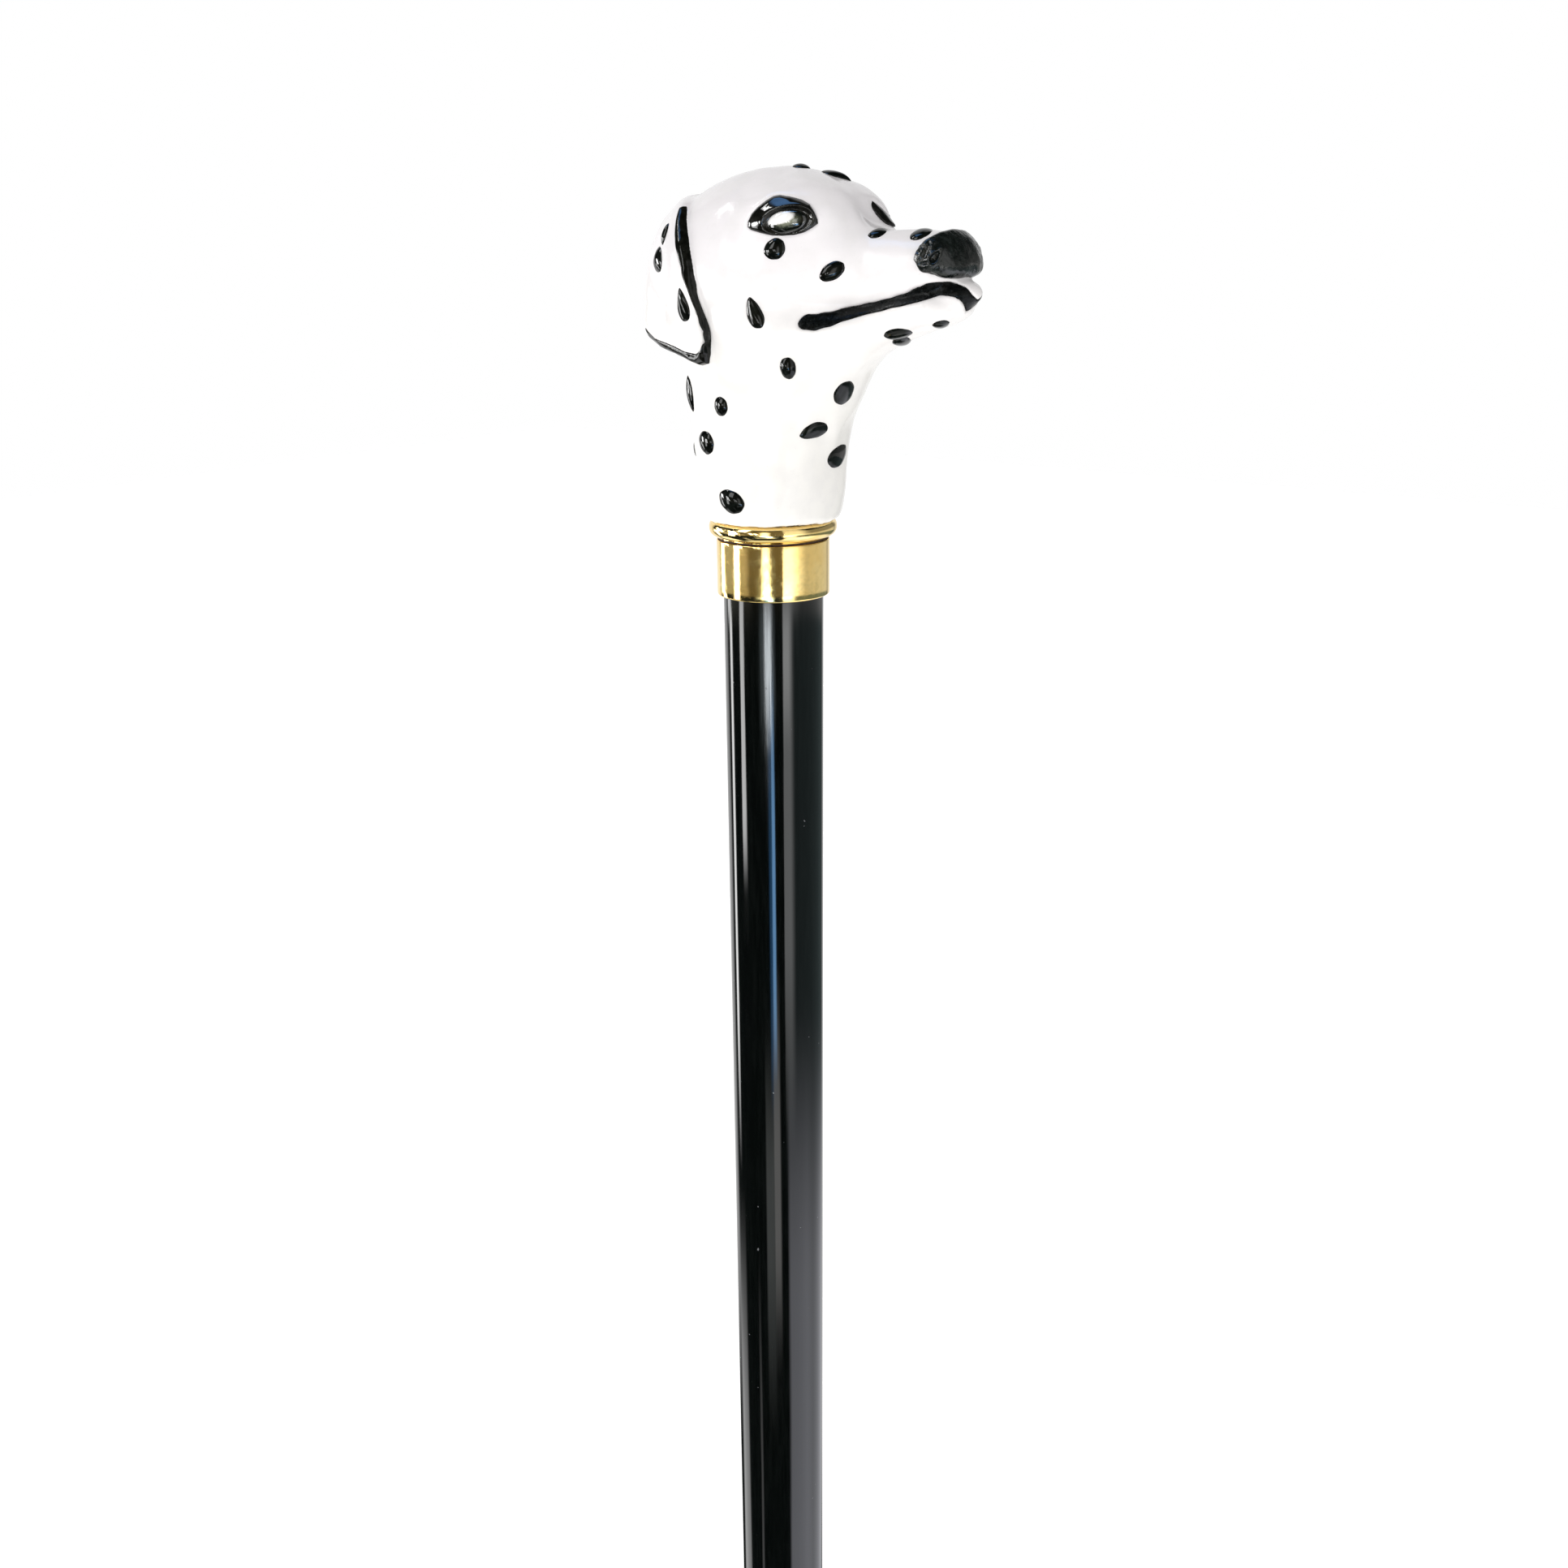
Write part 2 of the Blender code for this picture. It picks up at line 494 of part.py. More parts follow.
def enamel(parent, tree):
    black = black_enamel()
    for name, (centre, across, up, tilt) in SPOTS.items():
        patch(name, parent, tree, black, centre, across, up, tilt)
    glassy = material("eye_enamel", (0.10, 0.11, 0.09), 0.05, 0.0, 1.0)
    for side, word in ((-1, "right"), (1, "left")):
        centre = (EYE[0], EYE[1] * side, EYE[2])
        look = (0.72, 0.66 * side, 0.2)
        patch(f"eye_rim_{word}", parent, tree, black, centre, 5.0, 2.9, 4 * side, scales=(0.66, 0.83, 1.0), spokes=16, inner=True, normal=look, wave=0.0)
        patch(f"eye_{word}", parent, tree, glassy, centre, 2.9, 1.65, 4 * side, thick=0.5, dome=0.6, spokes=12, normal=look, wave=0.0)
    patch("nose_enamel", parent, tree, material("nose_enamel", (0.03, 0.03, 0.035), 0.12, 0.0, 1.0), (42.4, 0.0, 67.3), 6.4, 3.3, 0,
          thick=0.6, dome=0.8, scales=(0.3, 0.65, 1.0), spokes=20, normal=(1.0, 0.0, 0.12), wave=0.0, lift=0.55)
    # the mouth line runs from one corner round the muzzle's front to the other
    stations = []
    for x, z in MOUTH:
        stations.append(((x, -14.0, z), (0.0, 1.0, 0.0), 0.9, (0.0, 0.0, 1.0)))
    for k in range(1, 12):
        a = math.radians(-90 + 180 * k / 12)
        stations.append(((38.6 + 6.0 * math.cos(a), 8.0 * math.sin(a), 60.6 + 0.8 * abs(math.sin(a))), (-math.cos(a), -math.sin(a), 0.0), 0.9, (0.0, 0.0, 1.0)))
    for x, z in MOUTH[::-1]:
        stations.append(((x, 14.0, z), (0.0, -1.0, 0.0), 0.9, (0.0, 0.0, 1.0)))
    ribbon("mouth_line", parent, tree, black, stations)
    # the dark line along each ear's front and lower edge, laid on the leaf's face
    for side, word in ((-1, "right"), (1, "left")):
        u_way, v_way, w_way = (np.array((a[0], a[1] * side, a[2])) for a in (EAR_U, EAR_V, EAR_W))
        middle = np.array((EAR_CENTRE[0], EAR_CENTRE[1] * side, EAR_CENTRE[2]))
        line = [(-14.4, 18.6), (-11.7, 13.0), (-9.0, 9.0), (-6.3, 4.8), (-4.6, 2.2), (-5.6, 1.2), (-8.6, 1.8), (-12.4, 3.1), (-15.9, 4.3), (-18.6, 5.4)]
        ribbon_line = []
        for k, (u, v) in enumerate(line):
            a, b = np.array(line[max(k - 1, 0)]), np.array(line[min(k + 1, len(line) - 1)])
            along = (b - a) / np.linalg.norm(b - a)
            across = u_way * -along[1] + v_way * along[0]
            ribbon_line.append((middle + u_way * u + v_way * v, -w_way, 0.55, across))
        ribbon(f"ear_edge_{word}", parent, tree, black, ribbon_line, 0.3)


# --- collar, shaft and foot ------------------------------------------------------------------
def collar(fixed, lift, turn):
    z = COLLAR_Z
    brass = material("brass", (0.72, 0.53, 0.25), 0.3, 1.0)
    r, bore = SLEEVE_R, SHAFT_R_TOP + GAP
    sleeve = [(STUD_R + 1.1, SLEEVE_H), (r, SLEEVE_H), (r, 0.0), (bore, 0.0), (bore, SLEEVE_H - SLEEVE_FLOOR), (STUD_R + 1.1, SLEEVE_H - SLEEVE_FLOOR)]
    sleeve = round_over(round_over(sleeve, 2, 0.55), 1, 0.5)
    place(turned("collar_sleeve", sleeve, gold(), 40), fixed, z)
    low = SLEEVE_H + 0.25
    washer = [(7.0, low + WASHER_T), (SLEEVE_R - 0.5, low + WASHER_T), (SLEEVE_R - 0.5, low), (7.0, low)]
    place(turned("seat_washer", washer, material("dark_fibre", (0.05, 0.03, 0.02), 0.8), 40), lift, z)
    # the bead's outer side is a half round between two narrow shoulders
    mid, half = (BEAD_Z0 + BEAD_Z1) / 2, (BEAD_Z1 - BEAD_Z0) / 2
    bead = [(7.6, BEAD_Z1)] + [(BEAD_R - half + half * math.cos(a), mid + half * math.sin(a)) for a in (math.radians(90 - 30 * k) for k in range(7))] + [(7.6, BEAD_Z0)]
    place(turned("collar_bead_ring", bead, gold(), 40), turn, z)
    # the threaded plug that fills the neck, with the spigot that carries the bead ring
    top = PLUG_TOP - COLLAR_Z
    plug = [(STUD_R + GAP, top), (PLUG_R - 0.8, top), (PLUG_R, top - 0.8), (PLUG_R, BEAD_Z1 + GAP), (7.3, BEAD_Z1 + GAP), (7.3, BEAD_Z0), (STUD_R + GAP, BEAD_Z0)]
    place(turned("neck_plug", plug, brass, 32), turn, z)
    steel = material("steel", (0.62, 0.62, 0.64), 0.28, 1.0)
    t, f = STUD_TOP - z, STUD_FOOT - z
    place(turned("head_stud", [(0.0, t), (STUD_R - 0.9, t), (STUD_R, t - 0.9), (STUD_R, f + 0.8), (STUD_R - 0.8, f), (0.0, f)], steel, 32), fixed, z)
    f, top = INSERT_FOOT - z, 9.0
    insert = [(STUD_R + GAP, top), (INSERT_R, top), (INSERT_R, f + 0.6), (INSERT_R - 0.6, f), (0.0, f), (0.0, f + 2.4), (STUD_R + GAP, f + 2.4)]
    place(closed_turned("shaft_insert", insert, brass, 32), fixed, z)


def closed_turned(name, profile, mat, steps):
    """A turned body whose profile meets the axis along an edge: the edge on the axis is left open."""
    mesh = bpy.data.meshes.new(name)
    start = next(i for i in range(len(profile)) if profile[i][0] < 1e-6 and profile[i - 1][0] < 1e-6)
    order = profile[start:] + profile[:start]
    mesh.from_pydata([(r * MM, 0.0, z * MM) for r, z in order], [(i, i + 1) for i in range(len(order) - 1)], [])
    item = add_object(name, mesh, mat)
    screw = item.modifiers.new("turn", "SCREW")
    screw.axis = "Z"
    screw.angle = 2.0 * math.pi
    screw.steps = steps
    screw.render_steps = steps
    screw.use_merge_vertices = True
    screw.merge_threshold = 0.00001
    screw.use_smooth_shade = True
    return item


def shaft(parent):
    lacquer = material("black_lacquer", (0.01, 0.01, 0.012), 0.08, 0.0, 1.0)
    bore, floor = INSERT_R + GAP, INSERT_FOOT - GAP
    # the taper is steeper near the foot, as a turned stick's is
    side = []
    for k in range(7):
        t = k / 6
        side.append((SHAFT_R_TOP + (SHAFT_R_FOOT - SHAFT_R_TOP) * (0.8 * t + 0.2 * t * t), SHAFT_TOP_Z - 1.0 - (SHAFT_TOP_Z - SHAFT_END_Z - 2.0) * t))
    profile = [(0.0, floor), (bore, floor), (bore, SHAFT_TOP_Z), (SHAFT_R_TOP - 0.8, SHAFT_TOP_Z)] + side + [(SHAFT_R_FOOT - 0.8, SHAFT_END_Z), (0.0, SHAFT_END_Z)]
    item = turned("shaft", profile, lacquer, 40)
    return place(item, parent, 0.0)


def foot(parent):
    rubber = material("black_rubber", (0.02, 0.02, 0.02), 0.75)
    steel = material("steel", (0.62, 0.62, 0.64), 0.28, 1.0)
    floor = SHAFT_END_Z - GAP - FOOT_WASHER_T - GAP
    r = FERRULE_R_GROUND
    outer = [(FERRULE_BORE_R, FERRULE_H), (FERRULE_R_TOP - 0.5, FERRULE_H), (FERRULE_R_TOP, FERRULE_H - 0.6), (FERRULE_R_TOP + 0.1, FERRULE_H - 3.4),
             (FERRULE_R_TOP - 0.4, FERRULE_H - 4.2), (FERRULE_R_TOP - 0.4, FERRULE_H - 6.0), (FERRULE_R_TOP + 0.4, FERRULE_H - 7.2),
             (FERRULE_R_TOP + 0.7, 16.0), (r - 1.0, 8.0), (r, 3.4), (r, 0.9), (r - 0.7, 0.0)]
    ground = [(r - 2.2, 0.0), (r - 2.6, 1.0), (r - 3.6, 1.0), (r - 4.0, 0.0), (5.6, 0.0), (5.2, 1.0), (4.2, 1.0), (3.8, 0.0), (0.0, 0.0)]
    inner = [(0.0, floor), (FERRULE_BORE_R - 0.4, floor), (FERRULE_BORE_R, floor + 0.4)]
    place(closed_turned("ferrule_rubber", outer + ground + inner, rubber, 36), parent, 0.0)
    low = floor + GAP
    disc = [(0.0, low + FOOT_WASHER_T), (SHAFT_R_FOOT - 0.3, low + FOOT_WASHER_T), (SHAFT_R_FOOT - 0.3, low), (0.0, low)]
    place(turned("ferrule_washer", disc, steel, 36), parent, 0.0)


def main():
    clear_scene()
    base = empty("stick_origin", 0.0)
    fixed = base
    lift = empty("head_lift_axis", COLLAR_Z + SLEEVE_H, base)
    turn = empty("head_turn_axis", COLLAR_Z + SLEEVE_H, lift)
    pull = empty("ferrule_pull_axis", 0.0, base)
    shaft(fixed)
    collar(fixed, lift, turn)
    foot(pull)
    _, tree = head_casting(turn)
    enamel(turn, tree)


main()
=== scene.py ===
"""Looks of the dog's-head walking stick: enamelled head, gold collar, lacquered shaft and rubber foot.

The stick stands on its foot's centre, +Z up, +X the way the dog looks, -Y the dog's right.
The head is worked out in its own millimetres: its height is the world's height less HEAD_Z.
"""

import math

import bpy
import numpy as np
from mathutils import Matrix, Vector
from mathutils.bvhtree import BVHTree


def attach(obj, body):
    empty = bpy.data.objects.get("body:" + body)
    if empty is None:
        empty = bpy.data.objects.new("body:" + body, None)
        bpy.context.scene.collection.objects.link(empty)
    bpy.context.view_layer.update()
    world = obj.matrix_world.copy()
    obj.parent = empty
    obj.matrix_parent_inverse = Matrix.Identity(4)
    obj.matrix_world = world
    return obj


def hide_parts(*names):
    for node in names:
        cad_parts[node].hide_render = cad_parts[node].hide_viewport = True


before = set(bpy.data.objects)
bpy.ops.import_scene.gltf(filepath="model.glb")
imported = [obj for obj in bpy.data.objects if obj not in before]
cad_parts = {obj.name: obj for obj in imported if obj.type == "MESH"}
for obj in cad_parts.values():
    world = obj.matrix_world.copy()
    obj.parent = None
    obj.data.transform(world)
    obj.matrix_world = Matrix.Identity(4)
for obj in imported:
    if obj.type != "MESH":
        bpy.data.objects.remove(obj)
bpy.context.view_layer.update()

MM = 0.001
HEAD_Z = 837.4           # world height of the head's own zero, mm
COLLAR_Z = 840.0         # world height of the sleeve's lower edge, mm
SHAFT_R_TOP, SHAFT_R_FOOT = 9.95, 7.5
SLEEVE_R, SLEEVE_H = 11.15, 10.8
BEAD_Z0, BEAD_Z1, BEAD_R = 11.65, 15.1, 12.45
NECK_RIM = 18.0
FINE = 0.36      # spacing of the head's mesh, mm
FINER = 0.17     # spacing of the small enamel pieces, mm

# --- camera: the photograph's own place and angle ------------------------------------------
YAW, PITCH, ROLL = math.radians(38.0), math.radians(17.5), 0.0098
AWAY, EYE_Z = 350.0, 910.4               # mm from the stick's axis, and world height
FOCAL_PX, AXIS_PX, SIZE_PX = 2200.0, 955.5, 1932.0
TOWARD = np.array([math.sin(YAW), -math.cos(YAW), 0.0])      # from the stick to the camera
ACROSS = np.array([math.cos(YAW), math.sin(YAW), 0.0])       # to the right in the picture


def camera_axes():
    forward = np.array([-math.sin(YAW) * math.cos(PITCH), math.cos(YAW) * math.cos(PITCH), -math.sin(PITCH)])
    right = ACROSS.copy()
    up = np.cross(right, forward)
    return right - ROLL * up, up + ROLL * right, forward


def make_camera():
    right, up, forward = camera_axes()
    data = bpy.data.cameras.new("camera")
    data.sensor_width = 36.0
    data.sensor_fit = "HORIZONTAL"
    data.lens = 36.0 * FOCAL_PX / SIZE_PX
    data.shift_x = (SIZE_PX / 2 - AXIS_PX) / SIZE_PX
    data.clip_start, data.clip_end = 0.01, 50.0
    item = bpy.data.objects.new("camera", data)
    bpy.context.scene.collection.objects.link(item)
    place = Matrix.Identity(4)
    for i in range(3):
        place[i][0], place[i][1], place[i][2] = right[i], up[i], -forward[i]
    here = TOWARD * AWAY + np.array([0.0, 0.0, EYE_Z])
    for i in range(3):
        place[i][3] = here[i] * MM
    item.matrix_world = place
    bpy.context.scene.camera = item


def sight(px, py):
    """The camera's place and the way through a pixel, in the head's millimetres."""
    right, up, forward = camera_axes()
    way = forward + (px - AXIS_PX) / FOCAL_PX * right + (SIZE_PX / 2 - py) / FOCAL_PX * up
    here = TOWARD * AWAY + np.array([0.0, 0.0, EYE_Z - HEAD_Z])
    return here, way / np.linalg.norm(way)


def in_picture(x, y, z):
    """The pixel where a point of the head shows."""
    right, up, forward = camera_axes()
    rel = (x - TOWARD[0] * AWAY, y - TOWARD[1] * AWAY, z - (EYE_Z - HEAD_Z))
    deep, across, high = (sum(r * a for r, a in zip(rel, axis)) for axis in (forward, right, up))
    return AXIS_PX + FOCAL_PX * across / deep, SIZE_PX / 2 - FOCAL_PX * high / deep


# --- a rule is below zero inside and about a distance near its skin ---------------------------
def smin(a, b, k):
    h = np.clip(0.5 + 0.5 * (b - a) / k, 0.0, 1.0)
    return b * (1 - h) + a * h - k * h * (1 - h)


def smax(a, b, k):
    return -smin(-a, -b, k)


def through(t, stations, values):
    """A smooth curve through the stations, with no overshoot."""
    ts, vs = np.asarray(stations, float), np.asarray(values, float)
    d = np.diff(vs) / np.diff(ts)
    inner = np.where(d[1:] * d[:-1] > 0, 2 * d[1:] * d[:-1] / (d[1:] + d[:-1] + 1e-12), 0.0)
    m = np.concatenate([[d[0]], inner, [d[-1]]])
    t = np.clip(t, ts[0], ts[-1])
    i = np.clip(np.searchsorted(ts, t) - 1, 0, len(ts) - 2)
    h = ts[i + 1] - ts[i]
    s = (t - ts[i]) / h
    return ((2 * s**3 - 3 * s**2 + 1) * vs[i] + (s**3 - 2 * s**2 + s) * h * m[i]
            + (-2 * s**3 + 3 * s**2) * vs[i + 1] + (s**3 - s**2) * h * m[i + 1])


def ease(t, low, high):
    t = np.clip((t - low) / (high - low), 0.0, 1.0)
    return t * t * (3 - 2 * t)


def egg(p, centre, radii, rx=0.0, ry=0.0, rz=0.0):
    x, y, z = p[0] - centre[0], p[1] - centre[1], p[2] - centre[2]
    if rz:
        a = math.radians(rz)
        x, y = x * math.cos(a) + y * math.sin(a), -x * math.sin(a) + y * math.cos(a)
    if ry:
        a = math.radians(ry)
        x, z = x * math.cos(a) - z * math.sin(a), x * math.sin(a) + z * math.cos(a)
    if rx:
        a = math.radians(rx)
        y, z = y * math.cos(a) + z * math.sin(a), -y * math.sin(a) + z * math.cos(a)
    k0 = np.sqrt((x / radii[0])**2 + (y / radii[1])**2 + (z / radii[2])**2)
    k1 = np.sqrt((x / radii[0]**2)**2 + (y / radii[1]**2)**2 + (z / radii[2]**2)**2)
    return k0 * (k0 - 1) / (k1 + 1e-9)


def boxy_egg(p, centre, radii, power):
    x, y, z = (np.abs(p[i] - centre[i]) / radii[i] for i in range(3))
    return (np.sqrt((x**power + y**power + 1e-12)**(2.0 / power) + z**2) - 1) * min(radii)


def rod(p, a, b, ra, rb):
    a, b = np.asarray(a, float), np.asarray(b, float)
    d = b - a
    t = np.clip(((p[0] - a[0]) * d[0] + (p[1] - a[1]) * d[1] + (p[2] - a[2]) * d[2]) / (d @ d), 0, 1)
    return np.sqrt((p[0] - a[0] - t * d[0])**2 + (p[1] - a[1] - t * d[1])**2 + (p[2] - a[2] - t * d[2])**2) - (ra + (rb - ra) * t)


def lofted(t, u, v, t0, t1, cap0, cap1, cu, cv, ru, rv, power):
    k = (np.abs((u - cu) / ru)**power + np.abs((v - cv) / rv)**power)**(1.0 / power)
    end = np.maximum(t - t1, 0) / cap1 + np.maximum(t0 - t, 0) / cap0
    k = np.sqrt(k * k + end * end)
    return (k - 1) * np.minimum(np.minimum(ru, rv), 0.8 * np.minimum(ru, rv) + 2.0)


def outline_distance(u, v, outline):
    pts = np.asarray(outline, float)
    d, s = np.full(u.shape, 1e9), np.ones(u.shape)
    for i in range(len(pts)):
        a, b = pts[i], pts[i - 1]
        ex, ey = b - a
        wx, wy = u - a[0], v - a[1]
        t = np.clip((wx * ex + wy * ey) / (ex * ex + ey * ey), 0, 1)
        bx, by = wx - ex * t, wy - ey * t
        d = np.minimum(d, bx * bx + by * by)
        c1, c2, c3 = v >= a[1], v < b[1], ex * wy > ey * wx
        s = np.where((c1 & c2 & c3) | (~c1 & ~c2 & ~c3), -s, s)
    return s * np.sqrt(d)


def line_distance(u, v, line):
    """(distance to the line less its half width, share of the way along) for a line of (u, v, half width)."""
    best, where = np.full(u.shape, 1e9), np.zeros(u.shape)
    for k, (a, b) in enumerate(zip(line[:-1], line[1:])):
        ex, ey = b[0] - a[0], b[1] - a[1]
        t = np.clip(((u - a[0]) * ex + (v - a[1]) * ey) / (ex * ex + ey * ey), 0, 1)
        d = np.hypot(u - a[0] - t * ex, v - a[1] - t * ey) - (a[2] + (b[2] - a[2]) * t)
        nearer = d < best
        best = np.where(nearer, d, best)
        where = np.where(nearer, (k + t) / (len(line) - 1), where)
    return best, where


def lumps(p, size, seed, waves=9):
    """Soft unevenness of about +-1, with features of that size: a few crossing waves."""
    rng = np.random.RandomState(seed)
    total = 0.0
    for _ in range(waves):
        way = rng.normal(size=3)
        way *= (0.7 + 0.6 * rng.rand()) * 2 * math.pi / (size * 2.0) / np.linalg.norm(way)
        total = total + np.sin(p[0] * way[0] + p[1] * way[1] + p[2] * way[2] + rng.rand() * 6.283)
    return total / math.sqrt(waves * 0.5) * 0.5


# --- the head's rule -------------------------------------------------------------------------
NECK_Z = (17.5, 20.5, 24.0, 29.5, 36.0, 42.0, 48.0, 54.0)
NECK_BACK = (-12.7, -13.2, -13.8, -14.7, -15.8, -17.0, -18.3, -19.2)
NECK_FRONT = (13.1, 13.7, 14.1, 14.4, 16.0, 18.8, 22.3, 26.6)
NECK_HALF = (13.2, 13.8, 14.1, 14.3, 14.7, 15.2, 15.5, 15.7)
MUZZLE_X = (6.0, 14.0, 20.0, 25.0, 29.0, 34.0, 39.0, 42.0)
MUZZLE_TOP = (77.0, 76.5, 74.2, 72.3, 71.6, 71.3, 70.9, 70.2)
MUZZLE_BOTTOM = (53.5, 54.6, 55.8, 56.9, 57.8, 59.0, 60.2, 60.2)
MUZZLE_HALF = (14.0, 12.4, 10.6, 9.5, 8.9, 8.3, 7.8, 7.0)
JAW_X = (4.0, 12.0, 20.0, 27.0, 33.0, 38.0, 42.0)
JAW_TOP = (58.0, 58.0, 59.0, 60.0, 61.0, 61.5, 61.0)
JAW_BOTTOM = (48.0, 48.6, 50.0, 51.3, 52.9, 54.4, 55.4)
JAW_HALF = (14.0, 12.0, 10.0, 8.8, 8.1, 7.4, 6.8)

# the ear leaf's own plane: u forward along it, v up it, w out of it
EAR_CENTRE = (-1.0, 18.3, 50.0)
EAR_U = (0.9633, 0.2681, 0.0)
EAR_V = (0.0398, -0.1429, 0.9889)
EAR_W = (-0.2651, 0.9526, 0.1484)
EAR_OUTLINE = ((-11.6, 26.8), (-8.7, 22.4), (-6.4, 19.4), (-4.3, 16.0), (-3.0, 13.0), (-2.1, 10.0), (-1.5, 7.6), (-1.0, 5.6), (-0.7, 3.2), (-0.9, 0.0), (-1.5, -1.7),
               (-3.6, -2.1), (-9.2, -1.0), (-16.8, 0.2), (-20.8, 1.5), (-23.9, 3.9), (-25.2, 8.4), (-25.0, 14.0), (-24.0, 19.4), (-22.4, 25.0), (-17.4, 29.4))

# the mouth line along the lips: x along the sides and on round the front, height, half width
MOUTH = ((18.3, 55.8, 1.3), (19.8, 55.7, 1.35), (22.0, 56.4, 1.25), (25.0, 57.3, 1.02), (28.0, 58.05, 0.9), (32.5, 59.0, 0.85), (34.2, 59.5, 0.95), (36.2, 60.0, 1.05),
         (37.9, 60.7, 1.2), (39.3, 61.15, 1.2), (41.0, 61.45, 1.12), (43.2, 61.6, 1.08), (44.6, 61.3, 1.12), (46.2, 60.6, 1.15), (47.3, 59.5, 1.25), (48.3, 58.3, 1.5))

# the eye's outline, seen along the level way that the camera looks: across, height
EYE_OUTLINE = ((-4.1, 71.9), (-4.0, 73.0), (-3.3, 74.3), (-2.2, 75.4), (-0.7, 76.6), (0.6, 77.3), (1.8, 77.5), (3.6, 77.2), (5.6, 76.6), (7.1, 75.8),
               (7.8, 74.6), (8.4, 73.2), (8.5, 72.5), (7.4, 71.7), (6.0, 71.0), (4.2, 70.5), (2.2, 70.4), (0.4, 70.5), (-1.8, 71.0), (-3.4, 71.4))
BALL = (3.1, 72.9, 3.6, 1.98, 9.0)       # the eyeball in the same plane: across, height, half sizes, tilt
LEFT_EYE_AHEAD = 1.9                     # the left eye stands a little further forward than the right
# the part of the left eye's black that shows past the bridge, in pixels of the photograph
FAR_EYE = ((1071.5, 247.0), (1075.5, 247.0), (1081.0, 251.0), (1088.0, 257.0), (1094.5, 264.0), (1100.5, 270.5), (1114.0, 281.0), (1112.0, 290.0), (1104.0, 281.0),
           (1098.0, 278.5), (1092.0, 276.3), (1085.5, 271.5), (1079.5, 265.0), (1074.5, 257.0))
# and the stretch of the forehead's outline over which no black shows
CLEAR_BROW = ((1076.0, 230.0), (1130.0, 230.0), (1130.0, 262.5), (1098.0, 262.5), (1090.0, 254.0), (1083.0, 246.0))


def ear_coordinates(x, y, z):
    dx, dy, dz = x - EAR_CENTRE[0], y - EAR_CENTRE[1], z - EAR_CENTRE[2]
    return tuple(dx * a[0] + dy * a[1] + dz * a[2] for a in (EAR_U, EAR_V, EAR_W))


def mouth_distance(x, y, z):
    along = x + 0.62 * np.clip(5.6 - np.abs(y), 0.0, 5.6) * ease(x, 39.5, 42.5)
    return line_distance(along, z, MOUTH)[0]


def across_eye(x, y):
    """The level coordinate across either eye, growing towards the nose."""
    return x * ACROSS[0] - np.abs(y) * ACROSS[1] - LEFT_EYE_AHEAD * (y > 0)


def eye_outline(x, y, z):
    """Distance outside the black of either eye: the left one's runs further in towards the nose."""
    u = across_eye(x, y)
    left = (y > 0) & (u > 4.0)
    # out of the camera's sight its front corner is drawn out thin
    t = x * TOWARD[0] + y * TOWARD[1]
    hidden = 1.0 - ease(t, 3.0, 6.0)
    tall = 71.9 + (z - 71.9) * (1.0 + ease(u, 6.0, 10.0) * (1.6 * hidden - 0.25 * (1.0 - hidden)))
    d = outline_distance(np.where(left, 4.0 + 0.42 * (u - 4.0), u), np.where(left, tall, z), EYE_OUTLINE)
    # what the camera sees of the left one ends as it does in the photograph
    shows = np.flatnonzero((y > 0.5) & (x > 10.0) & (u > 1.0))
    if len(shows):
        px, py = in_picture(x[shows], y[shows], z[shows])
        d[shows] = np.maximum(d[shows], outline_distance(px, py, FAR_EYE) * 0.155 - 12.0 * (1.0 - ease(t[shows], 2.0, 3.4)))
        d[shows] = np.maximum(d[shows], -outline_distance(px, py, CLEAR_BROW) * 0.155)
    return d


def ball_distance(x, y, z):
    """1 on the eyeball's edge, 0 at its middle, and the angle round it."""
    u, v = across_eye(x, y) - BALL[0], z - BALL[1]
    a = math.radians(BALL[4])
    u, v = (u * math.cos(a) + v * math.sin(a)) / BALL[2], (-u * math.sin(a) + v * math.cos(a)) / BALL[3]
    return np.sqrt(u**2 + v**2), np.arctan2(v, u)


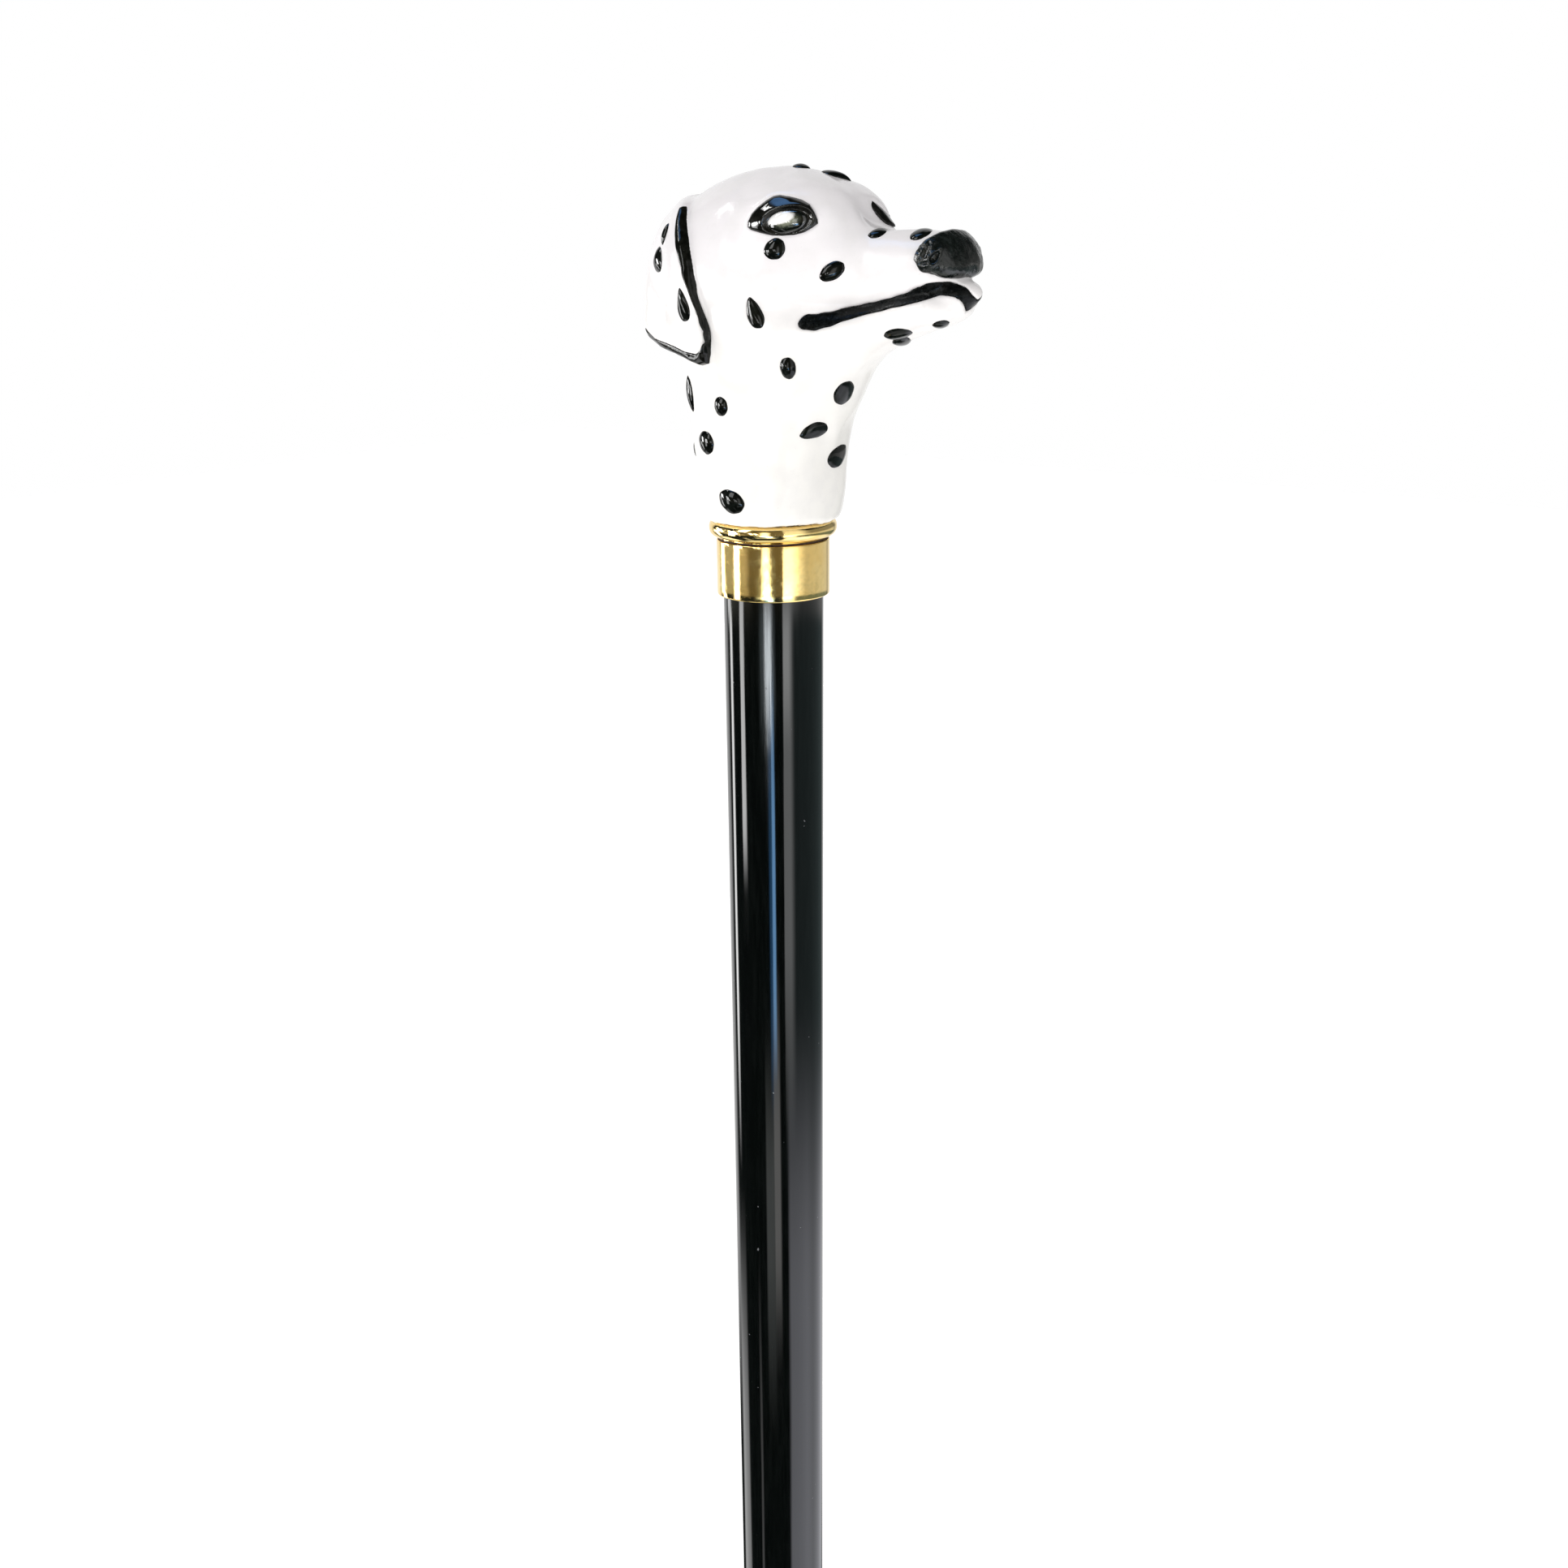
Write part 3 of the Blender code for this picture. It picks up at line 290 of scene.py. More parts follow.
def bare_head(x, y, z):
    """Skull, muzzle, jaw and neck, without the ears, the mouth's groove and the eye sockets."""
    side = np.sqrt(y * y + 0.04)
    p, q = (x, y, z), (x, side, z)
    d = egg(p, (-2.5, 0, 65.5), (20.0, 16.2, 15.6))
    d = smin(d, boxy_egg(p, (7.2, 0, 68.2), (16.4, 13.0, 13.6), 2.9), 6.0)
    # the brows; the left one stands back a little and runs more softly into the forehead
    left = ease(y, 0.5, 5.0)
    soft = (x, np.sqrt(y * y + 6.0), z)
    d = smin(d, egg(soft, (12.5 - 0.8 * left, 7.98, 73.4), (8.2, 5.0, 5.0), rz=-30), 5.0)
    d = smin(d, egg(soft, (14.6 - 1.3 * left, 9.04, 73.0), (6.4, 3.9, 3.7), rz=-24), 1.6 + 1.2 * left)
    d = smin(d, egg(q, (5.0, 9.6, 60.5), (15.5, 6.6, 9.8), rz=-12), 5.0)
    top, bottom, half = (through(x, MUZZLE_X, v) for v in (MUZZLE_TOP, MUZZLE_BOTTOM, MUZZLE_HALF))
    lean = 1.0 - 0.16 * np.clip((z - 63.0) / 9.0, -0.6, 1.0)
    d = smin(d, lofted(x, y / lean, z, 6.0, 38.4, 6.0, 4.8, 0.0, (top + bottom) / 2, half, (top - bottom) / 2, 2.5), 4.0)
    # the front of the upper lip, under the nose
    d = smin(d, egg(p, (39.8, 0.0, 60.5), (6.3, 4.9, 3.0)), 1.5)
    top, bottom, half = (through(x, JAW_X, v) for v in (JAW_TOP, JAW_BOTTOM, JAW_HALF))
    d = smin(d, lofted(x, y, z, 4.0, 38.5, 5.0, 5.3, 0.0, (top + bottom) / 2, half, (top - bottom) / 2, 2.2), 1.2)
    back, front, half = (through(z, NECK_Z, v) for v in (NECK_BACK, NECK_FRONT, NECK_HALF))
    neck = lofted(z, x, y, 17.0, 54.0, 3.0, 6.0, (front + back) / 2, 0.0, (front - back) / 2, half, 2.1)
    # its enamel hangs a little lower at the outside, where it runs onto the gold, and ends unevenly
    rim = NECK_RIM - ease(np.hypot(x, y), 10.4, 11.3) * (0.42 + 0.10 * lumps(p, 1.1, 61) + 0.06 * lumps(p, 0.5, 63))
    d = smin(d, smax(neck, rim - z, 1.3), 5.0)
    # a shallow dip between the brows
    d = smax(d, -egg(p, (27.4, 2.6, 75.4), (5.2, 6.5, 4.0)), 3.0)
    # folds where the cheek and the jaw meet the throat
    d = smin(d, rod(q, (4.0, 13.2, 51.6), (18.0, 10.4, 51.2), 1.7, 1.3), 3.0)
    d = smax(d, -rod(q, (9.0, 17.0, 49.0), (22.0, 11.6, 49.2), 1.0, 1.0), 2.6)
    # a throat that bulges low down, with a shallow hollow above it
    d = smax(d, -egg(q, (17.6, 6.0, 31.0), (2.4, 4.6, 6.0)), 2.5)
    d = smax(d, -egg(q, (4.0, 17.2, 47.5), (6.0, 2.2, 3.6)), 3.0)
    return d


def skin(x, y, z):
    """The head's skin with its ears and the unevenness of hand modelling, before the mouth and sockets are cut."""
    side = np.sqrt(y * y + 0.04)
    d = bare_head(x, y, z)
    u, v, w = ear_coordinates(x, side, z)
    bow = -0.008 * (u + 13.0)**2 * (u < -13.0) - 0.030 * (v - 17.0)**2 * (v > 17.0) - 0.045 * (4.0 - v)**2 * (v < 4.0)
    back = ease(u, -11.0, -20.0)
    half = 3.6 - 1.3 * back
    slab = np.abs(w - bow - 0.4 + half) - half
    d = smin(d, smax(outline_distance(u, v, EAR_OUTLINE), smin(slab, d - 1.45, 1.5), 1.2 + 2.0 * back), 0.8)
    p = (x, y, z)
    calm = 1.0 - 0.7 * ease(x, 36.0, 42.0)
    return d + calm * (0.13 * lumps(p, 6.5, 4) + 0.05 * lumps(p, 2.6, 9))


def head_rule(points):
    x, y, z = points[:, 0], points[:, 1], points[:, 2]
    side = np.sqrt(y * y + 0.04)
    d = skin(x, y, z)
    # the mouth's groove, the eye's socket
    m = mouth_distance(x, y, z) + 0.10 * lumps((x, y, z), 1.5, 21)
    d = smax(d, -smax(m, -(d + 0.55), 0.3), 0.5)
    eye = eye_outline(x, y, z)
    near = (x > 2.0) & ((y < -5.0) | (y > 1.5))
    sink = np.where(near, 0.45 * (1.0 - ease(eye, -1.0, 0.5)), 0.0)
    d = d + sink
    # and under the ear's dark band
    u, v, w = ear_coordinates(x, side, z)
    band = np.flatnonzero((np.abs(d) < 1.5) & (u > -26.0) & (u < 1.6) & (v > -3.6) & (v < 28.0) & (w > -4.0) & (w < 4.6))
    if len(band):
        m = smax(outline_distance(u[band], v[band], EAR_BAND), through(v[band], BAND_V, BAND_W) - 0.45 * ease(v[band], 10.0, 13.5) - w[band], 0.15)
        d[band] = d[band] + 0.16 * (1.0 - ease(m, -0.32, -0.08))
    # open neck
    bore = np.maximum(np.hypot(x, y) - 9.9, z - 34.0)
    return smax(d, -bore, 0.4)


def nose_rule(points):
    x, y, z = points[:, 0], points[:, 1], points[:, 2]
    side = np.abs(y)
    half = through(z, (61.0, 63.0, 66.0, 69.0, 71.0, 73.0), (7.2, 9.2, 8.5, 7.7, 6.6, 4.6))
    half = half - 0.10 * np.clip(x - 38.0, 0.0, 6.0)**1.5
    top = through(x, (34.0, 37.0, 40.0, 44.0, 47.0), (70.6, 71.8, 72.1, 71.4, 69.8))
    bottom = 62.9
    # its front leans back towards the top
    d = lofted(x + 0.34 * (z - 66.0), y, z, 30.0, 40.7, 4.0, 4.1, 0.0, (top + bottom) / 2, half, (top - bottom) / 2, 2.6)
    back = through(z, (62.0, 63.8, 64.7, 65.6, 66.5, 68.0, 69.5, 71.0, 73.0), (40.6, 39.0, 38.3, 37.8, 37.4, 37.7, 38.6, 40.1, 42.2)) - x
    d = smax(d, back, 1.0)
    # a shallow leaf of a nostril on each flank, with a raised rim, and a crease that runs up from it
    s, t = (x - 41.4) * 0.78 - (side - 7.2) * 0.62, z - 66.9
    p, q = s * 0.64 + t * 0.77, -s * 0.77 + t * 0.64
    k = np.sqrt((p / 1.55)**2 + (q / (0.68 - 0.16 * np.clip(p, -1.5, 1.5)))**2)
    wing = ease(side, 4.6, 6.0)
    d = d + wing * (0.40 * (1.0 - ease(k, 0.45, 0.95)) - 0.13 * np.exp(-((k - 1.18) / 0.20)**2))
    d = smax(d, -rod((x, side, z), (40.2, 7.95, 65.9), (38.9, 8.3, 65.6), 0.30, 0.12), 0.3)
    d = smax(d, -rod((x, side, z), (42.2, 8.0, 68.4), (41.6, 6.4, 71.6), 0.32, 0.10), 0.5)
    d = smax(d, -rod((x, side, z), (39.4, 8.9, 66.0), (40.6, 6.6, 70.6), 0.30, 0.25), 0.5)
    # the two short creases low on the front
    d = smax(d, -rod((x, side, z), (44.9, 0.5, 64.9), (43.9, 1.2, 62.6), 0.22, 0.4), 0.3)
    rough = ease(side, 4.8, 7.0) * ease(41.6 - x, -0.6, 0.8)
    return d + 0.07 * lumps((x, y, z), 1.8, 33) + (0.02 + 0.042 * rough) * lumps((x, y, z), 0.62, 35)


# --- meshes from rules ---------------------------------------------------------------------------
def rule_values(rule, pts):
    out = np.empty(len(pts))
    for i in range(0, len(pts), 200000):
        out[i:i + 200000] = rule(pts[i:i + 200000])
    return out


def skin_mesh(rule, low, high, step, coarse=4):
    """Vertices and quads of a rule's zero surface: worked out on a wide grid, then finely only near the surface."""
    low, high = np.asarray(low, float), np.asarray(high, float)
    cells = np.ceil((high - low) / (step * coarse)).astype(int)
    ax = [low[i] + step * coarse * np.arange(cells[i] + 1) for i in range(3)]
    grid = np.stack(np.meshgrid(*ax, indexing="ij"), -1)
    wide = rule_values(rule, grid.reshape(-1, 3)).reshape(grid.shape[:3])
    corners = [wide[i:i + cells[0], j:j + cells[1], k:k + cells[2]] for i in (0, 1) for j in (0, 1) for k in (0, 1)]
    least = np.min([np.abs(c) for c in corners], 0)
    near = least < step * coarse * 1.25
    size = cells * coarse + 1
    value = np.where(np.repeat(np.repeat(np.repeat(wide[:-1, :-1, :-1], coarse, 0), coarse, 1), coarse, 2) < 0, -9.0, 9.0).astype(np.float32)
    full = np.full(size, 9.0, np.float32)
    full[:-1, :-1, :-1] = value
    mark = np.zeros(size, bool)
    fine_near = np.repeat(np.repeat(np.repeat(near, coarse, 0), coarse, 1), coarse, 2)
    for i in (0, 1):
        for j in (0, 1):
            for k in (0, 1):
                mark[i:i + fine_near.shape[0], j:j + fine_near.shape[1], k:k + fine_near.shape[2]] |= fine_near
    idx = np.argwhere(mark)
    full[mark] = rule_values(rule, low + idx * step)
    inside = full < 0
    count = sum(inside[i:size[0] - 1 + i, j:size[1] - 1 + j, k:size[2] - 1 + k].astype(np.int8) for i in (0, 1) for j in (0, 1) for k in (0, 1))
    active = (count > 0) & (count < 8) & fine_near
    cell = np.argwhere(active)
    number = np.full(active.shape, -1, np.int64)
    number[active] = np.arange(len(cell))
    total, weight = np.zeros((len(cell), 3)), np.zeros(len(cell))
    for axis in range(3):
        others = [a for a in range(3) if a != axis]
        for i in (0, 1):
            for j in (0, 1):
                start = cell.copy()
                start[:, others[0]] += i
                start[:, others[1]] += j
                end = start.copy()
                end[:, axis] += 1
                a, b = full[tuple(start.T)], full[tuple(end.T)]
                cut = (a < 0) != (b < 0)
                t = a[cut] / (a[cut] - b[cut])
                point = start[cut].astype(float)
                point[:, axis] += t
                total[cut] += point
                weight[cut] += 1
    verts = low + total / weight[:, None] * step
    quads = []
    for axis in range(3):
        o1, o2 = [(1, 2), (2, 0), (0, 1)][axis]
        lower = [slice(1, s - 1) for s in size]
        lower[axis] = slice(0, size[axis] - 1)
        upper = list(lower)
        upper[axis] = slice(1, size[axis])
        a, b = inside[tuple(lower)], inside[tuple(upper)]
        edge = np.argwhere(a != b)
        goes_out = a[tuple(edge.T)]
        edge = edge + np.array([s.start for s in lower])
        ring = []
        for du, dv in ((-1, -1), (0, -1), (0, 0), (-1, 0)):
            c = edge.copy()
            c[:, o1] += du
            c[:, o2] += dv
            ring.append(number[tuple(c.T)])
        ring = np.stack(ring, 1)
        ok = (ring >= 0).all(1)
        ring, goes_out = ring[ok], goes_out[ok]
        ring[~goes_out] = ring[~goes_out][:, ::-1]
        quads.append(ring)
    return verts, np.concatenate(quads)


def slope(rule, pts, h=0.06):
    g = np.stack([rule_values(rule, pts + a) - rule_values(rule, pts - a) for a in np.eye(3) * h], 1) / (2 * h)
    return g


def even_out(rule, verts, quads, rounds, reach):
    """Evens the points along the skin and settles them back on it."""
    ends = np.concatenate([quads[:, [0, 1]], quads[:, [1, 2]], quads[:, [2, 3]], quads[:, [3, 0]]])
    number = np.bincount(ends[:, 0], minlength=len(verts)) + np.bincount(ends[:, 1], minlength=len(verts))
    for _ in range(rounds):
        total = np.zeros_like(verts)
        for i in range(3):
            total[:, i] = np.bincount(ends[:, 0], verts[ends[:, 1], i], len(verts)) + np.bincount(ends[:, 1], verts[ends[:, 0], i], len(verts))
        g = slope(rule, verts)
        n = g / (np.linalg.norm(g, axis=1)[:, None] + 1e-9)
        shift = 0.5 * (total / number[:, None] - verts)
        shift -= (shift * n).sum(1)[:, None] * n
        verts = verts + shift
        g = slope(rule, verts)
        move = rule_values(rule, verts)[:, None] * g / ((g * g).sum(1)[:, None] + 0.05)
        far = np.linalg.norm(move, axis=1)[:, None] + 1e-9
        verts = verts - move * np.minimum(1.0, reach / far)
    return verts


def add_mesh(name, verts_mm, faces, material, z=HEAD_Z, smooth=True, sharp=None):
    """Verts are in millimetres, with heights above z."""
    mesh = bpy.data.meshes.new(name)
    pts = np.asarray(verts_mm, float) * MM
    pts = pts + np.array([0.0, 0.0, z * MM])
    mesh.from_pydata(pts.tolist(), [], [list(map(int, f)) for f in faces])
    mesh.validate()
    mesh.materials.append(material)
    item = bpy.data.objects.new(name, mesh)
    bpy.context.scene.collection.objects.link(item)
    if smooth:
        mesh.shade_smooth()
        if sharp is not None:
            mesh.set_sharp_from_angle(angle=math.radians(sharp))
    return item


def biggest_part(verts, quads):
    """Only the largest connected piece, so no crumb is left."""
    parent = np.arange(len(verts))
    edges = np.concatenate([quads[:, [0, 1]], quads[:, [1, 2]], quads[:, [2, 3]]])
    for _ in range(200):
        low = np.minimum(parent[edges[:, 0]], parent[edges[:, 1]])
        before = parent.copy()
        np.minimum.at(parent, edges[:, 0], low)
        np.minimum.at(parent, edges[:, 1], low)
        parent = parent[parent]
        if (parent == before).all():
            break
    names, counts = np.unique(parent, return_counts=True)
    keep = parent == names[counts.argmax()]
    new = np.cumsum(keep) - 1
    quads = quads[keep[quads].all(1)]
    return verts[keep], new[quads]


# --- materials ---------------------------------------------------------------------------------
class Nodes:
    """A small helper that adds shader nodes and links them."""

    def __init__(self, tree):
        self.tree = tree
        tree.nodes.clear()

    def add(self, kind, **settings):
        node = self.tree.nodes.new(kind)
        for key, value in settings.items():
            if key.startswith("in_"):
                node.inputs[key[3:].replace("_", " ")].default_value = value
            else:
                setattr(node, key, value)
        return node

    def link(self, a, b):
        self.tree.links.new(a, b)

    def math(self, how, a, b=None, c=None, clamp=False):
        node = self.add("ShaderNodeMath", operation=how, use_clamp=clamp)
        for i, value in enumerate((a, b, c)):
            if value is None:
                continue
            if isinstance(value, (int, float)):
                node.inputs[i].default_value = value
            else:
                self.link(value, node.inputs[i])
        return node.outputs[0]

    def noise(self, where, scale, detail=2.0, rough=0.5, distort=0.0):
        node = self.add("ShaderNodeTexNoise")
        node.inputs["Scale"].default_value = scale
        node.inputs["Detail"].default_value = detail
        node.inputs["Roughness"].default_value = rough
        node.inputs["Distortion"].default_value = distort
        self.link(where, node.inputs["Vector"])
        return node.outputs["Fac"]

    def ramp(self, value, stops, ease="LINEAR"):
        node = self.add("ShaderNodeValToRGB")
        node.color_ramp.interpolation = ease
        while len(node.color_ramp.elements) > 1:
            node.color_ramp.elements.remove(node.color_ramp.elements[-1])
        for k, (at, color) in enumerate(stops):
            e = node.color_ramp.elements[0] if k == 0 else node.color_ramp.elements.new(at)
            e.position = at
            e.color = (*color, 1.0) if len(color) == 3 else color
        self.link(value, node.inputs["Fac"])
        return node.outputs["Color"]

    def mix(self, share, a, b):
        node = self.add("ShaderNodeMix", data_type="RGBA")
        if isinstance(share, (int, float)):
            node.inputs["Factor"].default_value = share
        else:
            self.link(share, node.inputs["Factor"])
        for socket, value in ((node.inputs[6], a), (node.inputs[7], b)):
            if isinstance(value, tuple):
                socket.default_value = (*value, 1.0)
            else:
                self.link(value, socket)
        return node.outputs[2]

    def range(self, value, a, b, c=0.0, d=1.0, smooth=True):
        node = self.add("ShaderNodeMapRange", interpolation_type="SMOOTHSTEP" if smooth else "LINEAR")
        self.link(value, node.inputs["Value"])
        for key, x in (("From Min", a), ("From Max", b), ("To Min", c), ("To Max", d)):
            node.inputs[key].default_value = x
        return node.outputs["Result"]


def new_material(name, base, roughness, metallic=0.0, coat=0.0, coat_rough=0.03, ior=1.5, specular=0.5):
    made = bpy.data.materials.new(name)
    made.use_nodes = True
    n = Nodes(made.node_tree)
    out = n.add("ShaderNodeOutputMaterial")
    shader = n.add("ShaderNodeBsdfPrincipled")
    n.link(shader.outputs[0], out.inputs["Surface"])
    shader.inputs["Base Color"].default_value = (*base, 1.0)
    shader.inputs["Roughness"].default_value = roughness
    shader.inputs["Metallic"].default_value = metallic
    shader.inputs["Coat Weight"].default_value = coat
    shader.inputs["Coat Roughness"].default_value = coat_rough
    shader.inputs["IOR"].default_value = ior
    shader.inputs["Specular IOR Level"].default_value = specular
    where = n.add("ShaderNodeTexCoord").outputs["Object"]
    return made, n, shader, where


def bump(n, shader, height, distance, strength=1.0, coat=False):
    node = n.add("ShaderNodeBump")
    node.inputs["Strength"].default_value = strength
    node.inputs["Distance"].default_value = distance
    n.link(height, node.inputs["Height"])
    n.link(node.outputs["Normal"], shader.inputs["Normal"])
    if coat:
        n.link(node.outputs["Normal"], shader.inputs["Coat Normal"])


def height_of(n, where):
    split = n.add("ShaderNodeSeparateXYZ")
    n.link(where, split.inputs[0])
    return split.outputs


def white_enamel():
    made, n, shader, where = new_material("white_enamel_fine", (0.84, 0.83, 0.82), 0.16, coat=0.07, coat_rough=0.06, specular=0.17)
    x, y, z = height_of(n, where)
    # painted light: warmer low down, as if lit from the pale ground, and cooler, a little lilac, over the crown, as if
    # shaded from above
    tall = n.range(z, (HEAD_Z + 40) * MM, (HEAD_Z + 74) * MM)
    color = n.mix(tall, (0.875, 0.862, 0.832), (0.850, 0.826, 0.845))
    cloud = n.range(n.noise(where, 210.0, 3.0, 0.55), 0.42, 0.68)
    color = n.mix(n.math("MULTIPLY", cloud, 0.35), color, (0.78, 0.77, 0.765))
    patch = n.range(n.noise(where, 640.0, 4.0, 0.65, 0.4), 0.56, 0.74)
    color = n.mix(n.math("MULTIPLY", patch, 0.16), color, (0.70, 0.69, 0.68))
    speck = n.range(n.noise(where, 2300.0, 2.0, 0.5), 0.735, 0.78)
    color = n.mix(n.math("MULTIPLY", speck, 0.22), color, (0.50, 0.48, 0.46))
    n.link(color, shader.inputs["Base Color"])
    n.link(n.range(n.noise(where, 420.0, 3.0), 0.3, 0.7, 0.10, 0.24), shader.inputs["Roughness"])
    small = n.noise(where, 900.0, 3.0, 0.55)
    wide = n.noise(where, 260.0, 2.0, 0.5)
    bump(n, shader, n.math("ADD", n.math("MULTIPLY", small, 0.35), wide), 0.00010, 0.55)
    return made


def black_enamel(name="black_enamel_fine", base=(0.0032, 0.0042, 0.0034), wobble=0.00003, rough=(0.03, 0.06), specular=0.25):
    made, n, shader, where = new_material(name, base, 0.06, ior=1.5, specular=specular)
    tint = n.range(n.noise(where, 700.0, 3.0, 0.6), 0.35, 0.75)
    color = n.mix(tint, tuple(0.6 * c for c in base), tuple(min(1.0, 1.9 * c) for c in base))
    n.link(color, shader.inputs["Base Color"])
    n.link(n.range(n.noise(where, 500.0, 2.0), 0.3, 0.7, rough[0], rough[1]), shader.inputs["Roughness"])
    bump(n, shader, n.noise(where, 560.0, 2.0, 0.5), wobble, 0.8)
    return made


def nose_enamel():
    made, n, shader, where = new_material("nose_enamel_fine", (0.008, 0.010, 0.009), 0.12, specular=0.5)
    grain = n.noise(where, 520.0, 5.0, 0.68, 0.6)
    color = n.ramp(grain, ((0.30, (0.002, 0.003, 0.003)), (0.52, (0.005, 0.007, 0.006)), (0.66, (0.014, 0.018, 0.017)), (0.80, (0.055, 0.062, 0.058))))
    n.link(color, shader.inputs["Base Color"])
    n.link(n.range(n.noise(where, 800.0, 3.0), 0.3, 0.7, 0.08, 0.30), shader.inputs["Roughness"])
    bump(n, shader, n.noise(where, 900.0, 4.0, 0.6), 0.00016, 0.7)
    return made


def mouth_enamel():
    made, n, shader, where = new_material("mouth_enamel_fine", (0.004, 0.005, 0.005), 0.22, specular=0.11)
    grain = n.noise(where, 1300.0, 4.0, 0.7)
    color = n.ramp(grain, ((0.35, (0.0012, 0.0016, 0.0014)), (0.60, (0.004, 0.005, 0.005)), (0.76, (0.030, 0.033, 0.033))))
    n.link(color, shader.inputs["Base Color"])
    n.link(n.range(n.noise(where, 700.0, 3.0), 0.3, 0.7, 0.15, 0.40), shader.inputs["Roughness"])
    bump(n, shader, n.noise(where, 1100.0, 3.0, 0.6), 0.00012, 0.8)
    return made


def eye_enamel(side):
    """A painted reflection: a pale oval, where a softbox would show in the glassy black eye, that fades through olive
    to black, more slowly at its lower front.
    """
    made, n, shader, where = new_material(f"eye_enamel_{'left' if side > 0 else 'right'}", (0.05, 0.06, 0.05), 0.04, coat=0.8, coat_rough=0.015, ior=1.5)
    x, y, z = height_of(n, where)
    # the level coordinate across the eye: it mirrors with the side
    u = n.math("ADD", n.math("MULTIPLY", x, 1000.0 * ACROSS[0]), n.math("MULTIPLY", y, -side * 1000.0 * ACROSS[1]))
    u = n.math("SUBTRACT", u, LEFT_EYE_AHEAD if side > 0 else 0.0)
    v = n.math("SUBTRACT", n.math("MULTIPLY", z, 1000.0), HEAD_Z)

    def oval(cu, cv, ru, rv, tilt):
        a = math.radians(tilt)
        du, dv = n.math("SUBTRACT", u, cu), n.math("SUBTRACT", v, cv)
        p = n.math("ADD", n.math("MULTIPLY", du, math.cos(a) / ru), n.math("MULTIPLY", dv, math.sin(a) / ru))
        q = n.math("ADD", n.math("MULTIPLY", du, -math.sin(a) / rv), n.math("MULTIPLY", dv, math.cos(a) / rv))
        return n.math("SQRT", n.math("ADD", n.math("MULTIPLY", p, p), n.math("MULTIPLY", q, q)))

    grain = n.noise(where, 2100.0, 3.0, 0.6)
    # painted reflection: the pale oval and its olive fade stand for a softbox seen in the glassy eye
    pale = oval(1.65, 73.5, 2.35, 0.93, 11.0)
    wide = oval(2.7, 73.05, 3.3, 1.62, 9.0)
    pale = n.math("ADD", pale, n.math("MULTIPLY", n.math("SUBTRACT", grain, 0.5), 0.25))
    wide = n.math("ADD", wide, n.math("MULTIPLY", n.math("SUBTRACT", grain, 0.5), 0.45))
    olive = n.ramp(wide, ((0.0, (0.36, 0.37, 0.30)), (0.45, (0.17, 0.18, 0.135)), (0.68, (0.030, 0.036, 0.026)), (0.9, (0.003, 0.004, 0.003))))
    color = n.mix(n.range(pale, 1.28, 0.86), olive, (0.92, 0.91, 0.90))
    n.link(color, shader.inputs["Base Color"])
    bump(n, shader, n.noise(where, 700.0, 2.0), 0.00003, 0.6)
    return made


def gold(name="gold_plate_fine", painted_gap_shade_at=None):
    made, n, shader, where = new_material(name, (0.93, 0.71, 0.31), 0.09, metallic=1.0)
    tone = n.range(n.noise(where, 160.0, 3.0), 0.3, 0.7)
    color = n.mix(tone, (0.92, 0.66, 0.24), (0.96, 0.74, 0.32))
    if painted_gap_shade_at:
        # painted shade: a dark ragged ring at this height stands for the shadow in the thin gap under the enamel's edge
        x, y, z = height_of(n, where)
        ragged = n.math("ADD", z, n.math("MULTIPLY", n.math("SUBTRACT", n.noise(where, 620.0, 3.0, 0.7), 0.5), 0.0012))
        color = n.mix(n.range(ragged, (painted_gap_shade_at - 0.12) * MM, (painted_gap_shade_at + 0.1) * MM), color, (0.045, 0.018, 0.006))
    n.link(color, shader.inputs["Base Color"])
    n.link(n.range(n.noise(where, 900.0, 4.0, 0.7), 0.35, 0.75, 0.05, 0.17), shader.inputs["Roughness"])
    fine = n.noise(where, 1500.0, 5.0, 0.72)
    wide = n.noise(where, 240.0, 2.0, 0.5)
    bump(n, shader, n.math("ADD", n.math("MULTIPLY", fine, 0.28), n.math("MULTIPLY", wide, 0.9)), 0.000040, 0.5)
    return made


def turned_metal(name, base, rough):
    made, n, shader, where = new_material(name, base, rough, metallic=1.0)
    stretch = n.add("ShaderNodeMapping")
    stretch.inputs["Scale"].default_value = (0.15, 0.15, 6.0)
    n.link(where, stretch.inputs["Vector"])
    line = n.noise(stretch.outputs[0], 900.0, 3.0, 0.6)
    color = n.mix(n.range(n.noise(where, 300.0, 3.0), 0.3, 0.7), tuple(0.82 * c for c in base), tuple(min(1.0, 1.08 * c) for c in base))
    n.link(color, shader.inputs["Base Color"])
    n.link(n.range(line, 0.3, 0.7, rough * 0.7, rough * 1.5), shader.inputs["Roughness"])
    bump(n, shader, line, 0.00004, 0.6)
    return made


def lacquer():
    made, n, shader, where = new_material("black_lacquer_fine", (0.0012, 0.0018, 0.0016), 0.05, ior=1.5)
    long_way = n.add("ShaderNodeMapping")
    long_way.inputs["Scale"].default_value = (1.0, 1.0, 0.06)
    n.link(where, long_way.inputs["Vector"])
    sag = n.noise(long_way.outputs[0], 150.0, 2.0, 0.5)
    grain = n.noise(long_way.outputs[0], 1600.0, 3.0, 0.6)
    dust = n.range(n.noise(where, 900.0, 1.0, 0.4), 0.80, 0.83)
    color = n.mix(n.range(grain, 0.35, 0.75), (0.0008, 0.0013, 0.0012), (0.0026, 0.0034, 0.0032))
    color = n.mix(n.math("MULTIPLY", dust, 0.5), color, (0.30, 0.31, 0.33))
    n.link(color, shader.inputs["Base Color"])
    n.link(n.range(n.noise(where, 60.0, 2.0), 0.3, 0.7, 0.035, 0.075), shader.inputs["Roughness"])
    bump(n, shader, n.math("ADD", sag, n.math("ADD", n.math("MULTIPLY", grain, 0.04), n.math("MULTIPLY", dust, 0.4))), 0.00010, 0.6)
    return made


